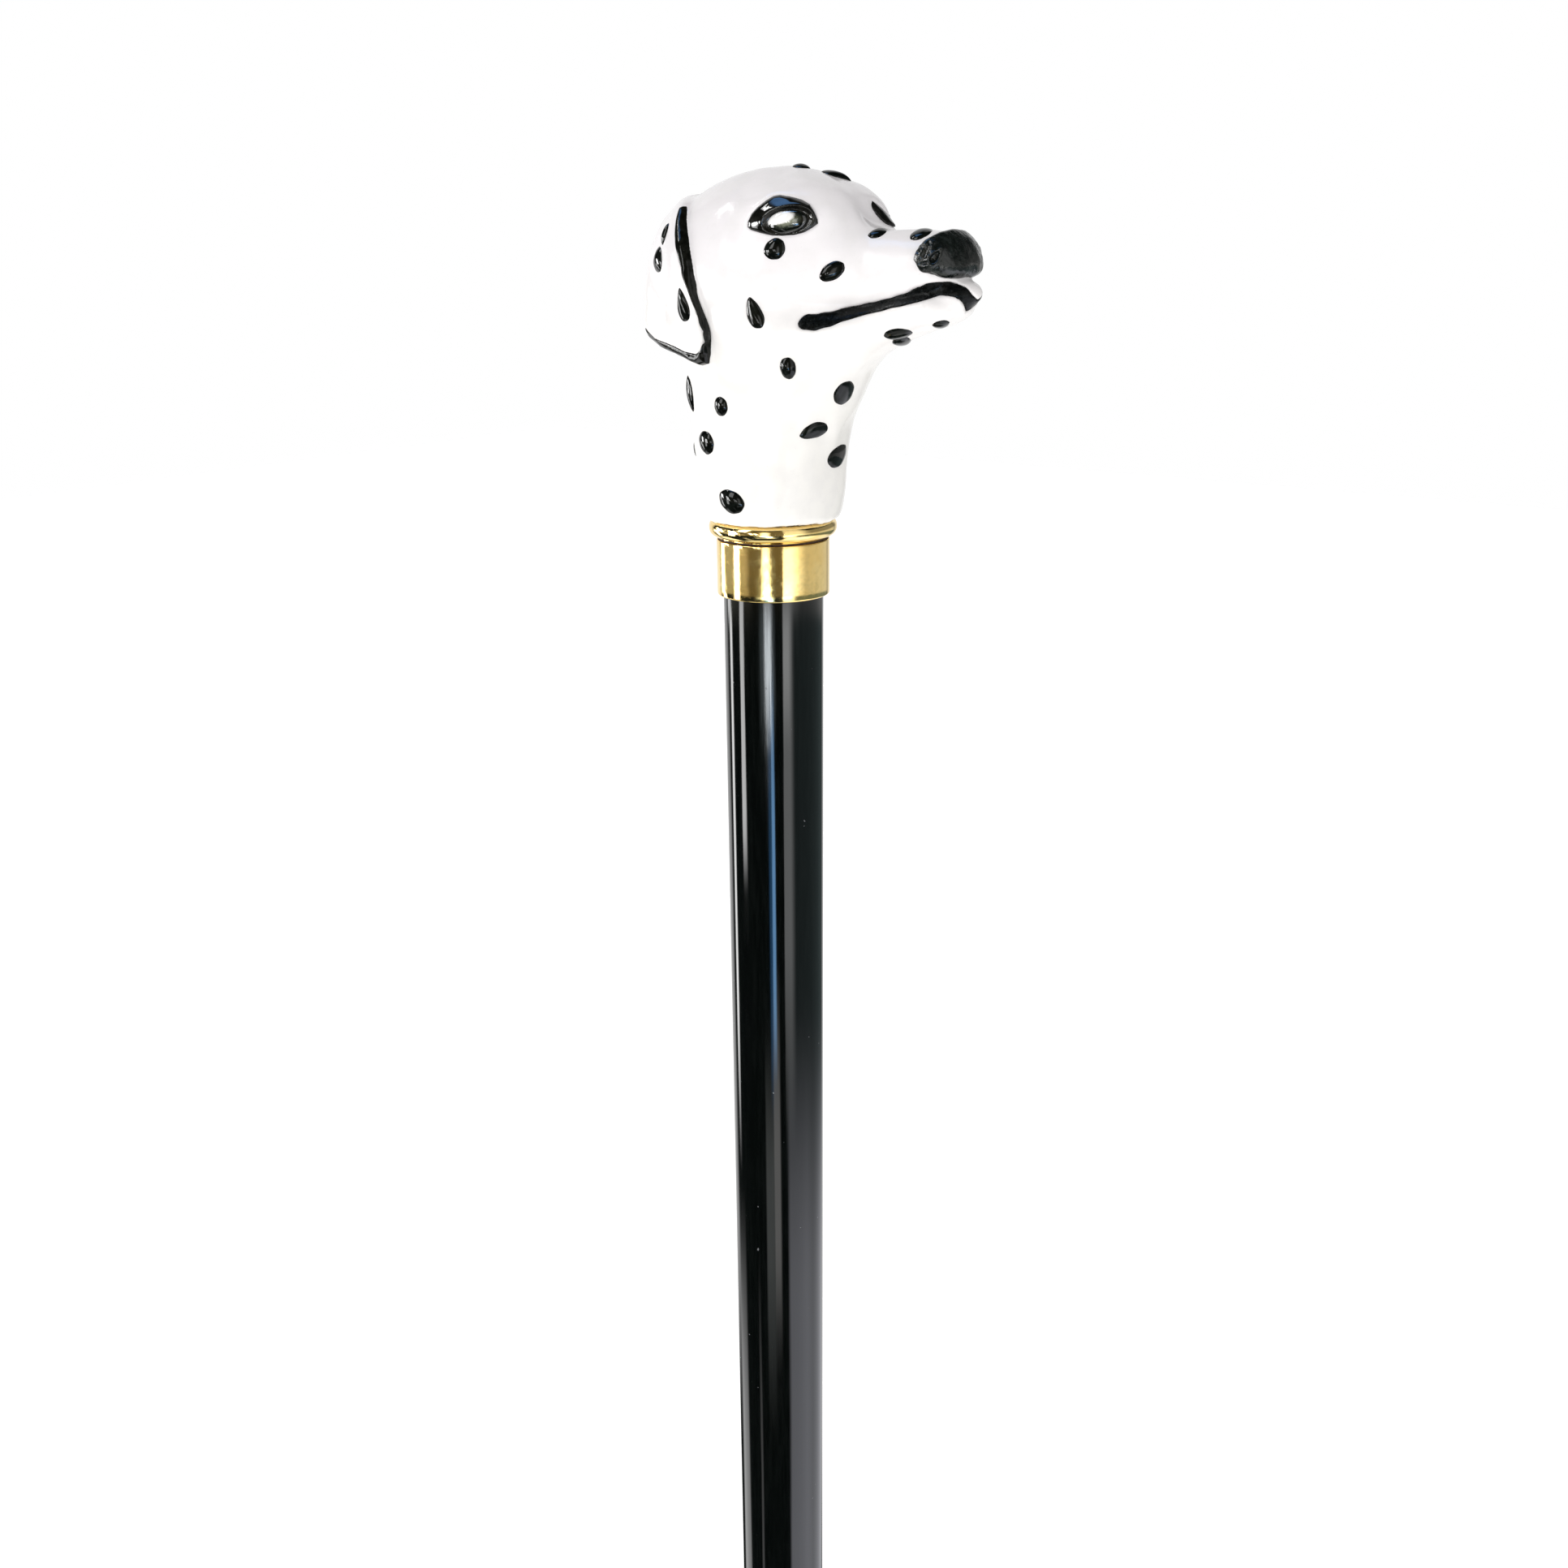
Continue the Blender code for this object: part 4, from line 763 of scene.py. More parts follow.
def rubber():
    made, n, shader, where = new_material("black_rubber_fine", (0.022, 0.022, 0.023), 0.7, specular=0.35)
    color = n.mix(n.range(n.noise(where, 420.0, 4.0, 0.6), 0.3, 0.75), (0.016, 0.016, 0.017), (0.040, 0.040, 0.041))
    n.link(color, shader.inputs["Base Color"])
    n.link(n.range(n.noise(where, 300.0, 3.0), 0.3, 0.7, 0.55, 0.85), shader.inputs["Roughness"])
    bump(n, shader, n.noise(where, 2600.0, 3.0, 0.6), 0.00012, 0.6)
    return made


def fibre():
    made, n, shader, where = new_material("dark_fibre_fine", (0.05, 0.03, 0.02), 0.8, specular=0.3)
    color = n.mix(n.range(n.noise(where, 1400.0, 4.0, 0.7), 0.3, 0.7), (0.03, 0.014, 0.008), (0.09, 0.05, 0.03))
    n.link(color, shader.inputs["Base Color"])
    bump(n, shader, n.noise(where, 3000.0, 3.0), 0.00008, 0.6)
    return made


# --- turned pieces ----------------------------------------------------------------------------------
def lathe(name, profile, material, z, segments=160, sharp=32.0, close=True):
    """A closed profile of (radius, height) turned about the axis. Points at radius 0 become one point."""
    verts, rows, faces = [], [], []
    for r, h in profile:
        if r < 1e-6:
            rows.append([len(verts)] * segments)
            verts.append((0.0, 0.0, h))
        else:
            rows.append([len(verts) + k for k in range(segments)])
            for k in range(segments):
                a = 2 * math.pi * k / segments
                verts.append((r * math.cos(a), r * math.sin(a), h))
    last = len(rows) if close and profile[0][0] > 1e-6 else len(rows) - 1
    for i in range(last):
        a, b = rows[i], rows[(i + 1) % len(rows)]
        for k in range(segments):
            m = (k + 1) % segments
            ring = [a[k], b[k], b[m], a[m]]
            face = [v for j, v in enumerate(ring) if v != ring[j - 1]]
            if len(face) > 2:
                faces.append(face)
    return add_mesh(name, verts, faces, material, z=z, sharp=sharp)


def rounded(points, radii, steps=5):
    """A closed profile with its corners rounded: radii has one for each point."""
    out = []
    count = len(points)
    for i, (p, r) in enumerate(zip(points, radii)):
        if r <= 0:
            out.append(p)
            continue
        a, b, c = np.array(points[i - 1], float), np.array(p, float), np.array(points[(i + 1) % count], float)
        u, v = (a - b) / np.linalg.norm(a - b), (c - b) / np.linalg.norm(c - b)
        half = math.acos(max(-1.0, min(1.0, float(u @ v)))) / 2
        start, end = b + u * r / math.tan(half), b + v * r / math.tan(half)
        centre = b + (u + v) / np.linalg.norm(u + v) * r / math.sin(half)
        a0, a1 = math.atan2(*(start - centre)[::-1]), math.atan2(*(end - centre)[::-1])
        turn = (a1 - a0 + math.pi) % (2 * math.pi) - math.pi
        for k in range(steps + 1):
            t = a0 + turn * k / steps
            out.append((centre[0] + r * math.cos(t), centre[1] + r * math.sin(t)))
    return out


def densify(points, step):
    """Puts more points on a profile's long runs, so that bumps and reflections are even."""
    out = []
    for i, p in enumerate(points):
        q = points[(i + 1) % len(points)]
        n = max(1, int(math.hypot(q[0] - p[0], q[1] - p[1]) / step))
        if p[0] < 1e-6 and q[0] < 1e-6:
            n = 1
        out += [(p[0] + (q[0] - p[0]) * k / n, p[1] + (q[1] - p[1]) * k / n) for k in range(n)]
    return out


def shaft_radius(z):
    t = (SHAFT_Z1 - z) / (SHAFT_Z1 - SHAFT_Z0)
    return SHAFT_R_TOP + (SHAFT_R_FOOT - SHAFT_R_TOP) * (0.8 * t + 0.2 * t * t)


SHAFT_Z0, SHAFT_Z1 = 9.0, COLLAR_Z + 8.0


def turned_pieces():
    gold_mat = gold()
    brass = turned_metal("brass_fine", (0.72, 0.53, 0.25), 0.22)
    steel = turned_metal("steel_fine", (0.60, 0.60, 0.62), 0.22)
    # gold sleeve: a plain cup, its lower edge rolled in
    h, r, bore = SLEEVE_H + 0.2, SLEEVE_R, SHAFT_R_TOP + 0.12
    cup = [(5.95, h), (r, h), (r, 0.0), (bore, 0.0), (bore, h - 1.5), (5.95, h - 1.5)]
    cup = densify(rounded(cup, [0.1, 0.16, 0.42, 0.3, 0.1, 0.1], 6), 0.9)
    item = lathe("gold_sleeve", cup, gold_mat, COLLAR_Z)
    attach(item, "stick"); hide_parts("collar_sleeve")
    # gold bead ring: a half round with a small step below it and a flat seat above, where the enamel stands
    foot, brow = BEAD_Z0 - 0.2, BEAD_Z1 - 0.12
    mid, half, reach = (foot + 0.15 + brow) / 2, (brow - foot - 0.15) / 2, 1.75
    hub = BEAD_R + 0.15 - reach
    arc = []
    for k in range(25):
        a = math.radians(89 - 7.4 * k)
        power = 0.80 if a > 0 else 0.95
        arc.append((hub + reach * abs(math.cos(a))**power, mid + half * math.copysign(abs(math.sin(a))**power, a)))
    ring = [(7.6, BEAD_Z1 + 0.06), (hub - 0.5, BEAD_Z1 + 0.06)] + arc + [(hub + 0.1, foot), (7.6, foot)]
    # the bead's top edge gets a painted shade line, where the gap under the enamel lies in shadow
    item = lathe("gold_bead_ring", ring, gold("gold_plate_bead", painted_gap_shade_at=COLLAR_Z + brow - 0.02), COLLAR_Z)
    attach(item, "head"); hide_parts("collar_bead_ring")
    # fibre washer in the joint line
    low = h + 0.05
    item = lathe("joint_washer", rounded([(7.0, low + 0.35), (r - 0.22, low + 0.35), (r - 0.22, low), (7.0, low)], [0.05, 0.12, 0.12, 0.05], 3), fibre(), COLLAR_Z, 96)
    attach(item, "lift"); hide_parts("seat_washer")
    # lacquered shaft
    side = [(shaft_radius(SHAFT_Z1 - (SHAFT_Z1 - SHAFT_Z0) * k / 120), SHAFT_Z1 - (SHAFT_Z1 - SHAFT_Z0) * k / 120) for k in range(121)]
    # the lacquer runs a hair thicker at the sleeve's mouth
    profile = [(0.0, 804.0 - 0.3), (7.3, 804.0 - 0.3), (7.3, 849.0), (SHAFT_R_TOP - 0.8, 849.0)] + side + [(SHAFT_R_FOOT - 0.3, 8.2), (SHAFT_R_FOOT - 0.9, 8.0), (0.0, 8.0)]
    item = lathe("lacquered_shaft", profile, lacquer(), 0.0, 192, close=False)
    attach(item, "stick"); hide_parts("shaft")
    # threaded steel stud: a right-hand M10 thread between two chamfers
    top, foot, pitch, around = 28.0, -33.0, 1.5, 48
    rows = int((top - foot) / pitch * 10)
    verts, faces = [], []
    for i in range(rows + 1):
        zz = foot + (top - foot) * i / rows
        limit = min(5.0, 4.0 + 0.9 * (zz - foot) + 0.02, 4.0 + 0.9 * (top - zz) + 0.02)
        for k in range(around):
            a = 2 * math.pi * k / around
            phase = (zz / pitch - a / (2 * math.pi)) % 1.0
            tooth = min(1.0, max(0.0, 2.0 - abs(phase - 0.5) * 4.6)) if phase > 0.06 and phase < 0.94 else 0.0
            rr = min(limit, 4.12 + 0.86 * tooth)
            verts.append((rr * math.cos(a), rr * math.sin(a), zz))
    for i in range(rows):
        for k in range(around):
            m = (k + 1) % around
            faces.append((i * around + k, i * around + m, (i + 1) * around + m, (i + 1) * around + k))
    faces.append(tuple(range(around))[::-1])
    faces.append(tuple(rows * around + k for k in range(around)))
    item = add_mesh("threaded_stud", verts, faces, steel, z=COLLAR_Z, sharp=50.0)
    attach(item, "stick"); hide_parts("head_stud")
    # rubber foot: a cuff, a grip ring, a flared body and a ringed sole
    r = 12.6
    outer = [(7.95, 37.0), (9.5, 37.0), (9.95, 36.6), (10.0, 35.6), (10.0, 33.9), (9.95, 33.4), (9.5, 32.9), (9.5, 31.2), (9.7, 30.7), (10.25, 30.0), (10.4, 29.0), (10.45, 26.0),
             (10.5, 24.6), (10.2, 24.2), (10.2, 23.6), (10.52, 23.2), (10.55, 21.6), (10.25, 21.2), (10.25, 20.6), (10.58, 20.2), (10.6, 16.0), (10.75, 13.5), (11.1, 10.8), (11.6, 8.0), (12.1, 5.6), (12.5, 3.4), (r, 2.4), (r, 0.8), (12.4, 0.3), (11.9, 0.0)]
    sole = [(r - 2.2, 0.0), (r - 2.45, 0.9), (r - 3.75, 0.9), (r - 4.0, 0.0), (5.6, 0.0), (5.35, 0.9), (4.05, 0.9), (3.8, 0.0), (0.0, 0.0)]
    floor = 8.0 - 0.3 - 1.4 - 0.3
    inner = [(0.0, floor), (7.55, floor), (7.95, floor + 0.4)]
    item = lathe("rubber_foot", outer + sole + inner, rubber(), 0.0, 144, sharp=40.0)
    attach(item, "foot"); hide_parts("ferrule_rubber")
    # carried-over turned pieces inside
    for node, made in (("neck_plug", brass), ("shaft_insert", brass), ("ferrule_washer", steel)):
        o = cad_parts[node]
        o.data.materials.clear()
        o.data.materials.append(made)


# --- enamel pieces ----------------------------------------------------------------------------------
def from_rule(name, rule, low, high, step, material, node, rounds=2):
    verts, quads = skin_mesh(rule, low, high, step)
    verts, quads = biggest_part(verts, quads)
    verts = even_out(rule, verts, quads, rounds, step * 0.6)
    item = add_mesh(name, verts, quads, material)
    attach(item, "head")
    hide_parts(node)
    return item, verts, quads


def mirrored(name, source, material, node):
    """The same piece on the head's other side."""
    mesh = source.data.copy()
    mesh.name = name
    pts = np.empty(len(mesh.vertices) * 3)
    mesh.vertices.foreach_get("co", pts)
    pts = pts.reshape(-1, 3)
    pts[:, 1] *= -1
    mesh.vertices.foreach_set("co", pts.ravel())
    mesh.flip_normals()
    mesh.materials.clear()
    mesh.materials.append(material)
    item = bpy.data.objects.new(name, mesh)
    bpy.context.scene.collection.objects.link(item)
    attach(item, "head")
    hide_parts(node)
    return item


def mouth_rule(points):
    x, y, z = points[:, 0], points[:, 1], points[:, 2]
    d = skin(x, y, z)
    m = mouth_distance(x, y, z) + 0.10 * lumps((x, y, z), 1.5, 21) + 0.04 * lumps((x, y, z), 0.6, 23)
    face = smax(d + 0.10, m - 0.06, 0.25)
    return smax(smax(face, -(d + 1.0), 0.2), 10.0 - x, 0.2)


# the ear's dark band in the leaf's plane: its inner edge down the front and back along the bottom, then its outer edge past the leaf's own
EAR_BAND = ((-11.6, 25.6), (-9.9, 21.7), (-8.3, 19.0), (-6.4, 16.4), (-4.7, 13.9), (-2.9, 10.9), (-2.0, 7.9), (-1.25, 6.1), (-0.8, 3.9), (-0.75, 1.9), (-1.3, 0.5),
            (-3.3, -0.3), (-7.0, 0.0), (-10.6, 0.8), (-14.6, 1.45), (-17.8, 1.9), (-20.6, 3.2), (-22.4, 3.9), (-20.8, 1.8), (-17.2, 0.3), (-14.0, -0.2), (-11.0, -0.6), (-7.6, -1.4),
            (-3.4, -2.45), (-1.2, -2.3), (-0.2, -1.2), (0.4, 0.6), (0.5, 3.2), (0.1, 5.6), (-0.9, 8.0), (-1.8, 10.2), (-2.75, 13.1), (-4.05, 16.2), (-6.15, 19.7), (-8.3, 22.5), (-11.0, 26.2))
# the raised bead on the band's inner edge
EAR_BEAD = ((-4.8, 14.6, 0.0), (-4.2, 13.6, 0.0), (-2.6, 10.9, 0.0), (-1.7, 7.9, 0.0), (-0.95, 6.1, 0.0), (-0.5, 3.9, 0.0), (-0.45, 1.9, 0.0), (-1.1, 0.0, 0.0),
            (-2.9, -0.95, 0.0), (-5.0, -0.75, 0.0), (-7.4, -0.45, 0.0), (-11.0, 0.4, 0.0), (-14.7, 1.2, 0.0), (-17.9, 1.65, 0.0), (-20.6, 3.1, 0.0))
BAND_V = (-3.0, -1.6, 0.0, 3.2, 5.7, 7.7, 10.0, 13.1, 16.1, 19.6, 22.4, 26.0)
BAND_W = (-2.5, -2.2, -1.8, -1.1, -0.2, 0.65, 1.6, 2.1, 2.2, 1.8, 1.1, 0.2)


def ear_line_rule(points):
    x, y, z = points[:, 0], points[:, 1], points[:, 2]
    d = skin(x, y, z)
    u, v, w = ear_coordinates(x, -y, z)
    m = outline_distance(u, v, EAR_BAND) + 0.05 * lumps((x, y, z), 1.1, 41)
    m = smax(m, through(v, BAND_V, BAND_W) - 0.45 * ease(v, 10.0, 13.5) - w, 0.15)
    near, along = line_distance(u, v, EAR_BEAD)
    height = 0.16 + 0.27 * np.exp(-(near / 0.42)**2) * ease(along, 0.0, 0.10) * (1.0 - ease(along, 0.48, 0.66))
    face = smax(d - height, m, 0.34)
    return smax(face, -(d + 0.35), 0.2)


def lid_height(x, y, z):
    """How far the black lids stand out of the skin: a band that rises down to the upper lid's edge, a gap, and a thin lower lid."""
    k, angle = ball_distance(x, y, z)
    upper = ease(np.sin(angle), -0.25, 0.35)
    ridge = np.exp(-np.where(k > 1.34, (k - 1.34) / 0.42, (k - 1.34) / 0.15)**2)
    gap = np.exp(-((k - 1.03) / 0.16)**2)
    corner = ease(across_eye(x, y), -0.2, -3.6)
    return 0.30 + 0.42 * ridge * upper * (1 - 0.5 * corner) - 0.26 * gap + 0.10 * (1 - upper) * np.exp(-((k - 1.3) / 0.2)**2)


def lid_rule(points):
    x, y, z = points[:, 0], points[:, 1], points[:, 2]
    d = skin(x, y, z)
    eye = eye_outline(x, y, z) + 0.05 * lumps((x, y, z), 1.6, 51)
    face = smax(d - lid_height(x, y, z) + 0.015 * lumps((x, y, z), 1.6, 55), eye, 0.85)
    hole = (0.94 - ball_distance(x, y, z)[0]) * 1.9
    return smax(smax(face, -(d + 0.7), 0.2), hole, 0.22)


def ball_rule(points):
    x, y, z = points[:, 0], points[:, 1], points[:, 2]
    d = skin(x, y, z)
    k = ball_distance(x, y, z)[0]
    dome = 0.06 + 0.86 * np.sqrt(np.clip(1.0 - k * k, 0.0, 1.0))
    return smax(smax(d - dome, (k - 1.0) * 1.9, 0.25), -(d + 0.9), 0.2)


def enamel_drop(name, node, grid, normals, height, material):
    """A domed drop from rings of skin points: grid[ring][spoke], the last ring on its outline."""
    rings, spokes = len(grid), len(grid[0])
    verts, faces = [], []
    share = [DROP_RINGS[i] for i in range(rings)]
    for i in range(rings):
        for j in range(spokes):
            rise = height * (1.0 - share[i]**2)**0.74 if share[i] < 1.0 else -0.05
            verts.append(grid[i][j] + normals[i][j] * rise)
    foot = len(verts)
    for j in range(spokes):
        verts.append(grid[-1][j] - normals[-1][j] * 0.45)
    middle = grid[0].mean(0)
    verts.append(middle - normals[0].mean(0) * 0.6)
    verts.append(middle + normals[0].mean(0) * height)
    low, top = foot + spokes, foot + spokes + 1
    for j in range(spokes):
        k = (j + 1) % spokes
        faces.append((top, j, k))
        for i in range(rings - 1):
            faces.append((i * spokes + j, (i + 1) * spokes + j, (i + 1) * spokes + k, i * spokes + k))
        faces.append(((rings - 1) * spokes + j, foot + j, foot + k, (rings - 1) * spokes + k))
        faces.append((foot + j, low, foot + k))
    item = add_mesh(name, verts, faces, material)
    bm_fix(item)
    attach(item, "head")
    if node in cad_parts:
        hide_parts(node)
    return item


def bm_fix(item):
    """Turns every face outward."""
    import bmesh
    bm = bmesh.new()
    bm.from_mesh(item.data)
    bmesh.ops.recalc_face_normals(bm, faces=bm.faces)
    bm.to_mesh(item.data)
    bm.free()


DROP_RINGS = (0.16, 0.32, 0.47, 0.60, 0.71, 0.80, 0.87, 0.925, 0.965, 0.99, 1.0)


def drop_outline(t, taper, point, seed):
    """(along, across) of a drop's outline at angle t: taper narrows its far end, point sharpens its ends."""
    c, s = math.cos(t), math.sin(t)
    along = math.copysign(abs(c)**0.96, c)
    across = math.copysign(abs(s)**point, s) * (1.0 - taper * along)
    wob = 1.0 + 0.030 * math.sin(2 * t + seed) + 0.022 * math.sin(3 * t + 2.1 * seed) + 0.012 * math.sin(7 * t + 1.3 * seed)
    return along * wob, across * wob


# drops seen plainly in the photograph: pixel centre, half length and half width in pixels, tilt, taper, point, height in mm
SEEN_DROPS = {
    "spot_bridge": ((1081.5, 287.3), 12.6, 5.2, 17, 0.15, 1.25, 0.55),
    "spot_beside_nose": ((1135.0, 288.2), 14.5, 6.0, 20, 0.25, 1.15, 0.6),
    "spot_under_eye": ((954.6, 306.8), 14.2, 12.4, 62, 0.02, 0.98, 0.75),
    "spot_muzzle_right": ((1025.4, 334.4), 18.0, 10.4, 31, 0.02, 1.12, 0.65),
    "spot_cheek_right": ((929.6, 386.0), 20.0, 9.8, 108, 0.22, 1.10, 0.7),
    "spot_neck_upper": ((970.9, 453.6), 13.2, 10.0, 104, 0.0, 0.95, 0.8),
    "spot_neck_front_upper": ((1039.8, 483.9), 16.6, 10.2, 57, 0.05, 1.02, 0.55),
    "spot_neck_mid": ((888.4, 500.8), 12.4, 7.8, 98, 0.0, 1.0, 0.75),
    "spot_neck_front_mid": ((1002.6, 531.0), 18.0, 9.2, 20, -0.16, 1.10, 0.55),
    "spot_neck_lower_right": ((870.6, 545.6), 14.6, 8.6, 106, -0.05, 1.0, 0.75),
    "spot_neck_front_low": ((1032.4, 561.2), 16.8, 8.8, 58, 0.38, 1.0, 0.55),
    "spot_neck_base": ((901.4, 618.0), 17.6, 12.4, 133, 0.05, 1.0, 0.75),
    "spot_ear_right_lower": ((841.2, 375.2), 20.5, 6.6, 101, 0.55, 1.0, 0.7),
    "spot_jaw_under": ((1106.4, 411.4), 18.0, 6.6, 7, 0.1, 1.15, 0.55),
    "spot_chin": ((1159.4, 399.6), 11.2, 4.6, 9, -0.05, 1.15, 0.45),
    "jaw_low": ((1111.0, 420.4), 11.6, 5.4, 4, 0.0, 1.0, 0.6),
}

# drops near the outline or out of sight: a point on the skin, half length and half width in mm, tilt, taper, point, height
PLACED_DROPS = {
    "spot_crown_rear": ((7.9, -0.6, 82.0), 1.8, 1.7, 20, 0.0, 1.0, 0.62),
    "spot_crown_front": ((13.8, 2.2, 80.9), 2.85, 1.6, 308, 0.36, 1.0, 0.85),
    "spot_neck_side_back": ((-10.2, -12.5, 41.8), 3.5, 1.5, 98, 0.0, 1.2, 0.6),
    "spot_ear_right_upper": ((-14.1, -13.6, 70.9), 2.0, 0.95, 92, 0.0, 1.1, 0.6),
    "spot_ear_right_mid": ((-16.0, -13.8, 66.3), 2.4, 2.3, 92, 0.30, 1.0, 0.75),
    "spot_crown_back": ((-12.0, 3.5, 78.0), 2.4, 2.0, 30, 0.1, 1.0, 0.75),
    "spot_muzzle_left": ((25.5, 9.6, 65.5), 2.3, 1.8, -25, 0.1, 1.1, 0.65),
    "spot_cheek_left": ((10.5, 15.2, 59.0), 2.6, 1.9, 80, 0.15, 1.05, 0.7),
    "spot_temple_left": ((11.0, 11.5, 79.0), 1.9, 1.5, 10, 0.0, 1.0, 0.7),
    "spot_neck_left_upper": ((8.0, 15.4, 44.0), 2.7, 2.0, 80, 0.0, 1.05, 0.7),
    "spot_neck_left_mid": ((-6.0, 14.8, 37.0), 2.4, 1.8, -15, 0.1, 1.1, 0.7),
    "spot_neck_left_low": ((6.5, 13.2, 27.0), 2.4, 1.8, 75, 0.1, 1.0, 0.7),
    "spot_nape_upper": ((-18.6, 3.0, 50.0), 2.8, 2.0, 95, 0.0, 1.05, 0.7),
    "spot_nape_lower": ((-13.4, -6.6, 30.6), 2.0, 1.7, 80, 0.1, 1.0, 0.7),
    "spot_ear_left_upper": ((-17.2, 13.0, 70.0), 2.2, 1.4, 85, 0.2, 1.0, 0.65),
    "spot_ear_left_lower": ((-15.0, 16.4, 60.0), 2.6, 1.6, 95, 0.3, 1.05, 0.7),
}


def skin_slope(pts):
    def rule(p):
        return skin(p[:, 0], p[:, 1], p[:, 2])
    g = slope(rule, pts, 0.35)
    return g / (np.linalg.norm(g, axis=1)[:, None] + 1e-9)


def drops(tree, material):
    spokes = 44
    for seed, (name, (centre, a, b, tilt, taper, point, height)) in enumerate(SEEN_DROPS.items()):
        turn = math.radians(tilt)
        grid = []
        for share in DROP_RINGS:
            ring = []
            for j in range(spokes):
                p, q = drop_outline(2 * math.pi * j / spokes, taper, point, seed * 1.7)
                p, q = p * a * share, q * b * share
                for inward in np.linspace(1.0, 0.0, 41):
                    # past the outline: the last skin seen on the way out from the drop's middle
                    f, g = p * inward, q * inward
                    here, way = sight(centre[0] + f * math.cos(turn) - g * math.sin(turn), centre[1] - f * math.sin(turn) - g * math.cos(turn))
                    hit = tree.ray_cast(Vector(here), Vector(way))[0]
                    if hit is not None:
                        break
                ring.append(np.array(hit))
            grid.append(np.array(ring))
        grid = np.array(grid)
        normals = skin_slope(grid.reshape(-1, 3)).reshape(grid.shape)
        enamel_drop("enamel_" + name, name, grid, normals, height, material)
    for seed, (name, (centre, a, b, tilt, taper, point, height)) in enumerate(PLACED_DROPS.items()):
        centre = np.array(tree.find_nearest(Vector(centre))[0])
        n = skin_slope(centre[None])[0]
        right = np.cross((0.0, 0.0, 1.0), n)
        if abs(n[2]) > 0.9:
            right = np.cross(n, (1.0, 0.0, 0.0))
        right /= np.linalg.norm(right)
        high = np.cross(n, right)
        turn = math.radians(tilt)
        eu, ev = right * math.cos(turn) + high * math.sin(turn), high * math.cos(turn) - right * math.sin(turn)
        grid = []
        for share in DROP_RINGS:
            ring = []
            for j in range(spokes):
                p, q = drop_outline(2 * math.pi * j / spokes, taper, point, seed * 2.3 + 1)
                spot = centre + eu * p * a * share + ev * q * b * share
                hit = tree.ray_cast(Vector(spot + n * 5.0), Vector(-n))[0]
                if hit is None:
                    hit = tree.find_nearest(Vector(spot))[0]
                ring.append(np.array(hit))
            grid.append(np.array(ring))
        grid = np.array(grid)
        normals = skin_slope(grid.reshape(-1, 3)).reshape(grid.shape)
        enamel_drop("enamel_" + name, name, grid, normals, height, material)


def head_pieces():
    item, verts, quads = from_rule("enamelled_head", head_rule, (-28, -20.5, 16.5), (47, 20.5, 84.5), FINE, white_enamel(), "head_casting", 2)
    tree = BVHTree.FromPolygons([tuple(v) for v in verts], [tuple(map(int, q)) for q in quads])
    from_rule("nose_pad", nose_rule, (33, -10, 59), (48, 10, 74), FINER, nose_enamel(), "nose_enamel")
    black = black_enamel()
    from_rule("mouth_band", mouth_rule, (14, -14.6, 53), (47, 14.6, 65), FINER * 1.15, mouth_enamel(), "mouth_line")
    right, _, _ = from_rule("ear_line_right", ear_line_rule, (-26, -21, 45), (2, -7, 79), FINER * 1.1, black_enamel("black_enamel_line", (0.0045, 0.0048, 0.0036), 0.00010, (0.05, 0.14), 0.22), "ear_edge_right")
    mirrored("ear_line_left", right, right.data.materials[0], "ear_edge_left")
    lids = black_enamel("black_enamel_lid", (0.007, 0.007, 0.006), 0.00003, (0.03, 0.07), 0.42)
    from_rule("lids_right", lid_rule, (4, -18, 68.5), (23, -6, 79.5), FINER, lids, "eye_rim_right")
    from_rule("lids_left", lid_rule, (6, 1.0, 68.5), (27, 18, 80.5), FINER, lids, "eye_rim_left")
    from_rule("eyeball_right", ball_rule, (7, -17, 69.5), (21, -8, 77), FINER, eye_enamel(-1), "eye_right")
    from_rule("eyeball_left", ball_rule, (9, 8, 69.5), (23, 17, 77), FINER, eye_enamel(1), "eye_left")
    drops(tree, black)


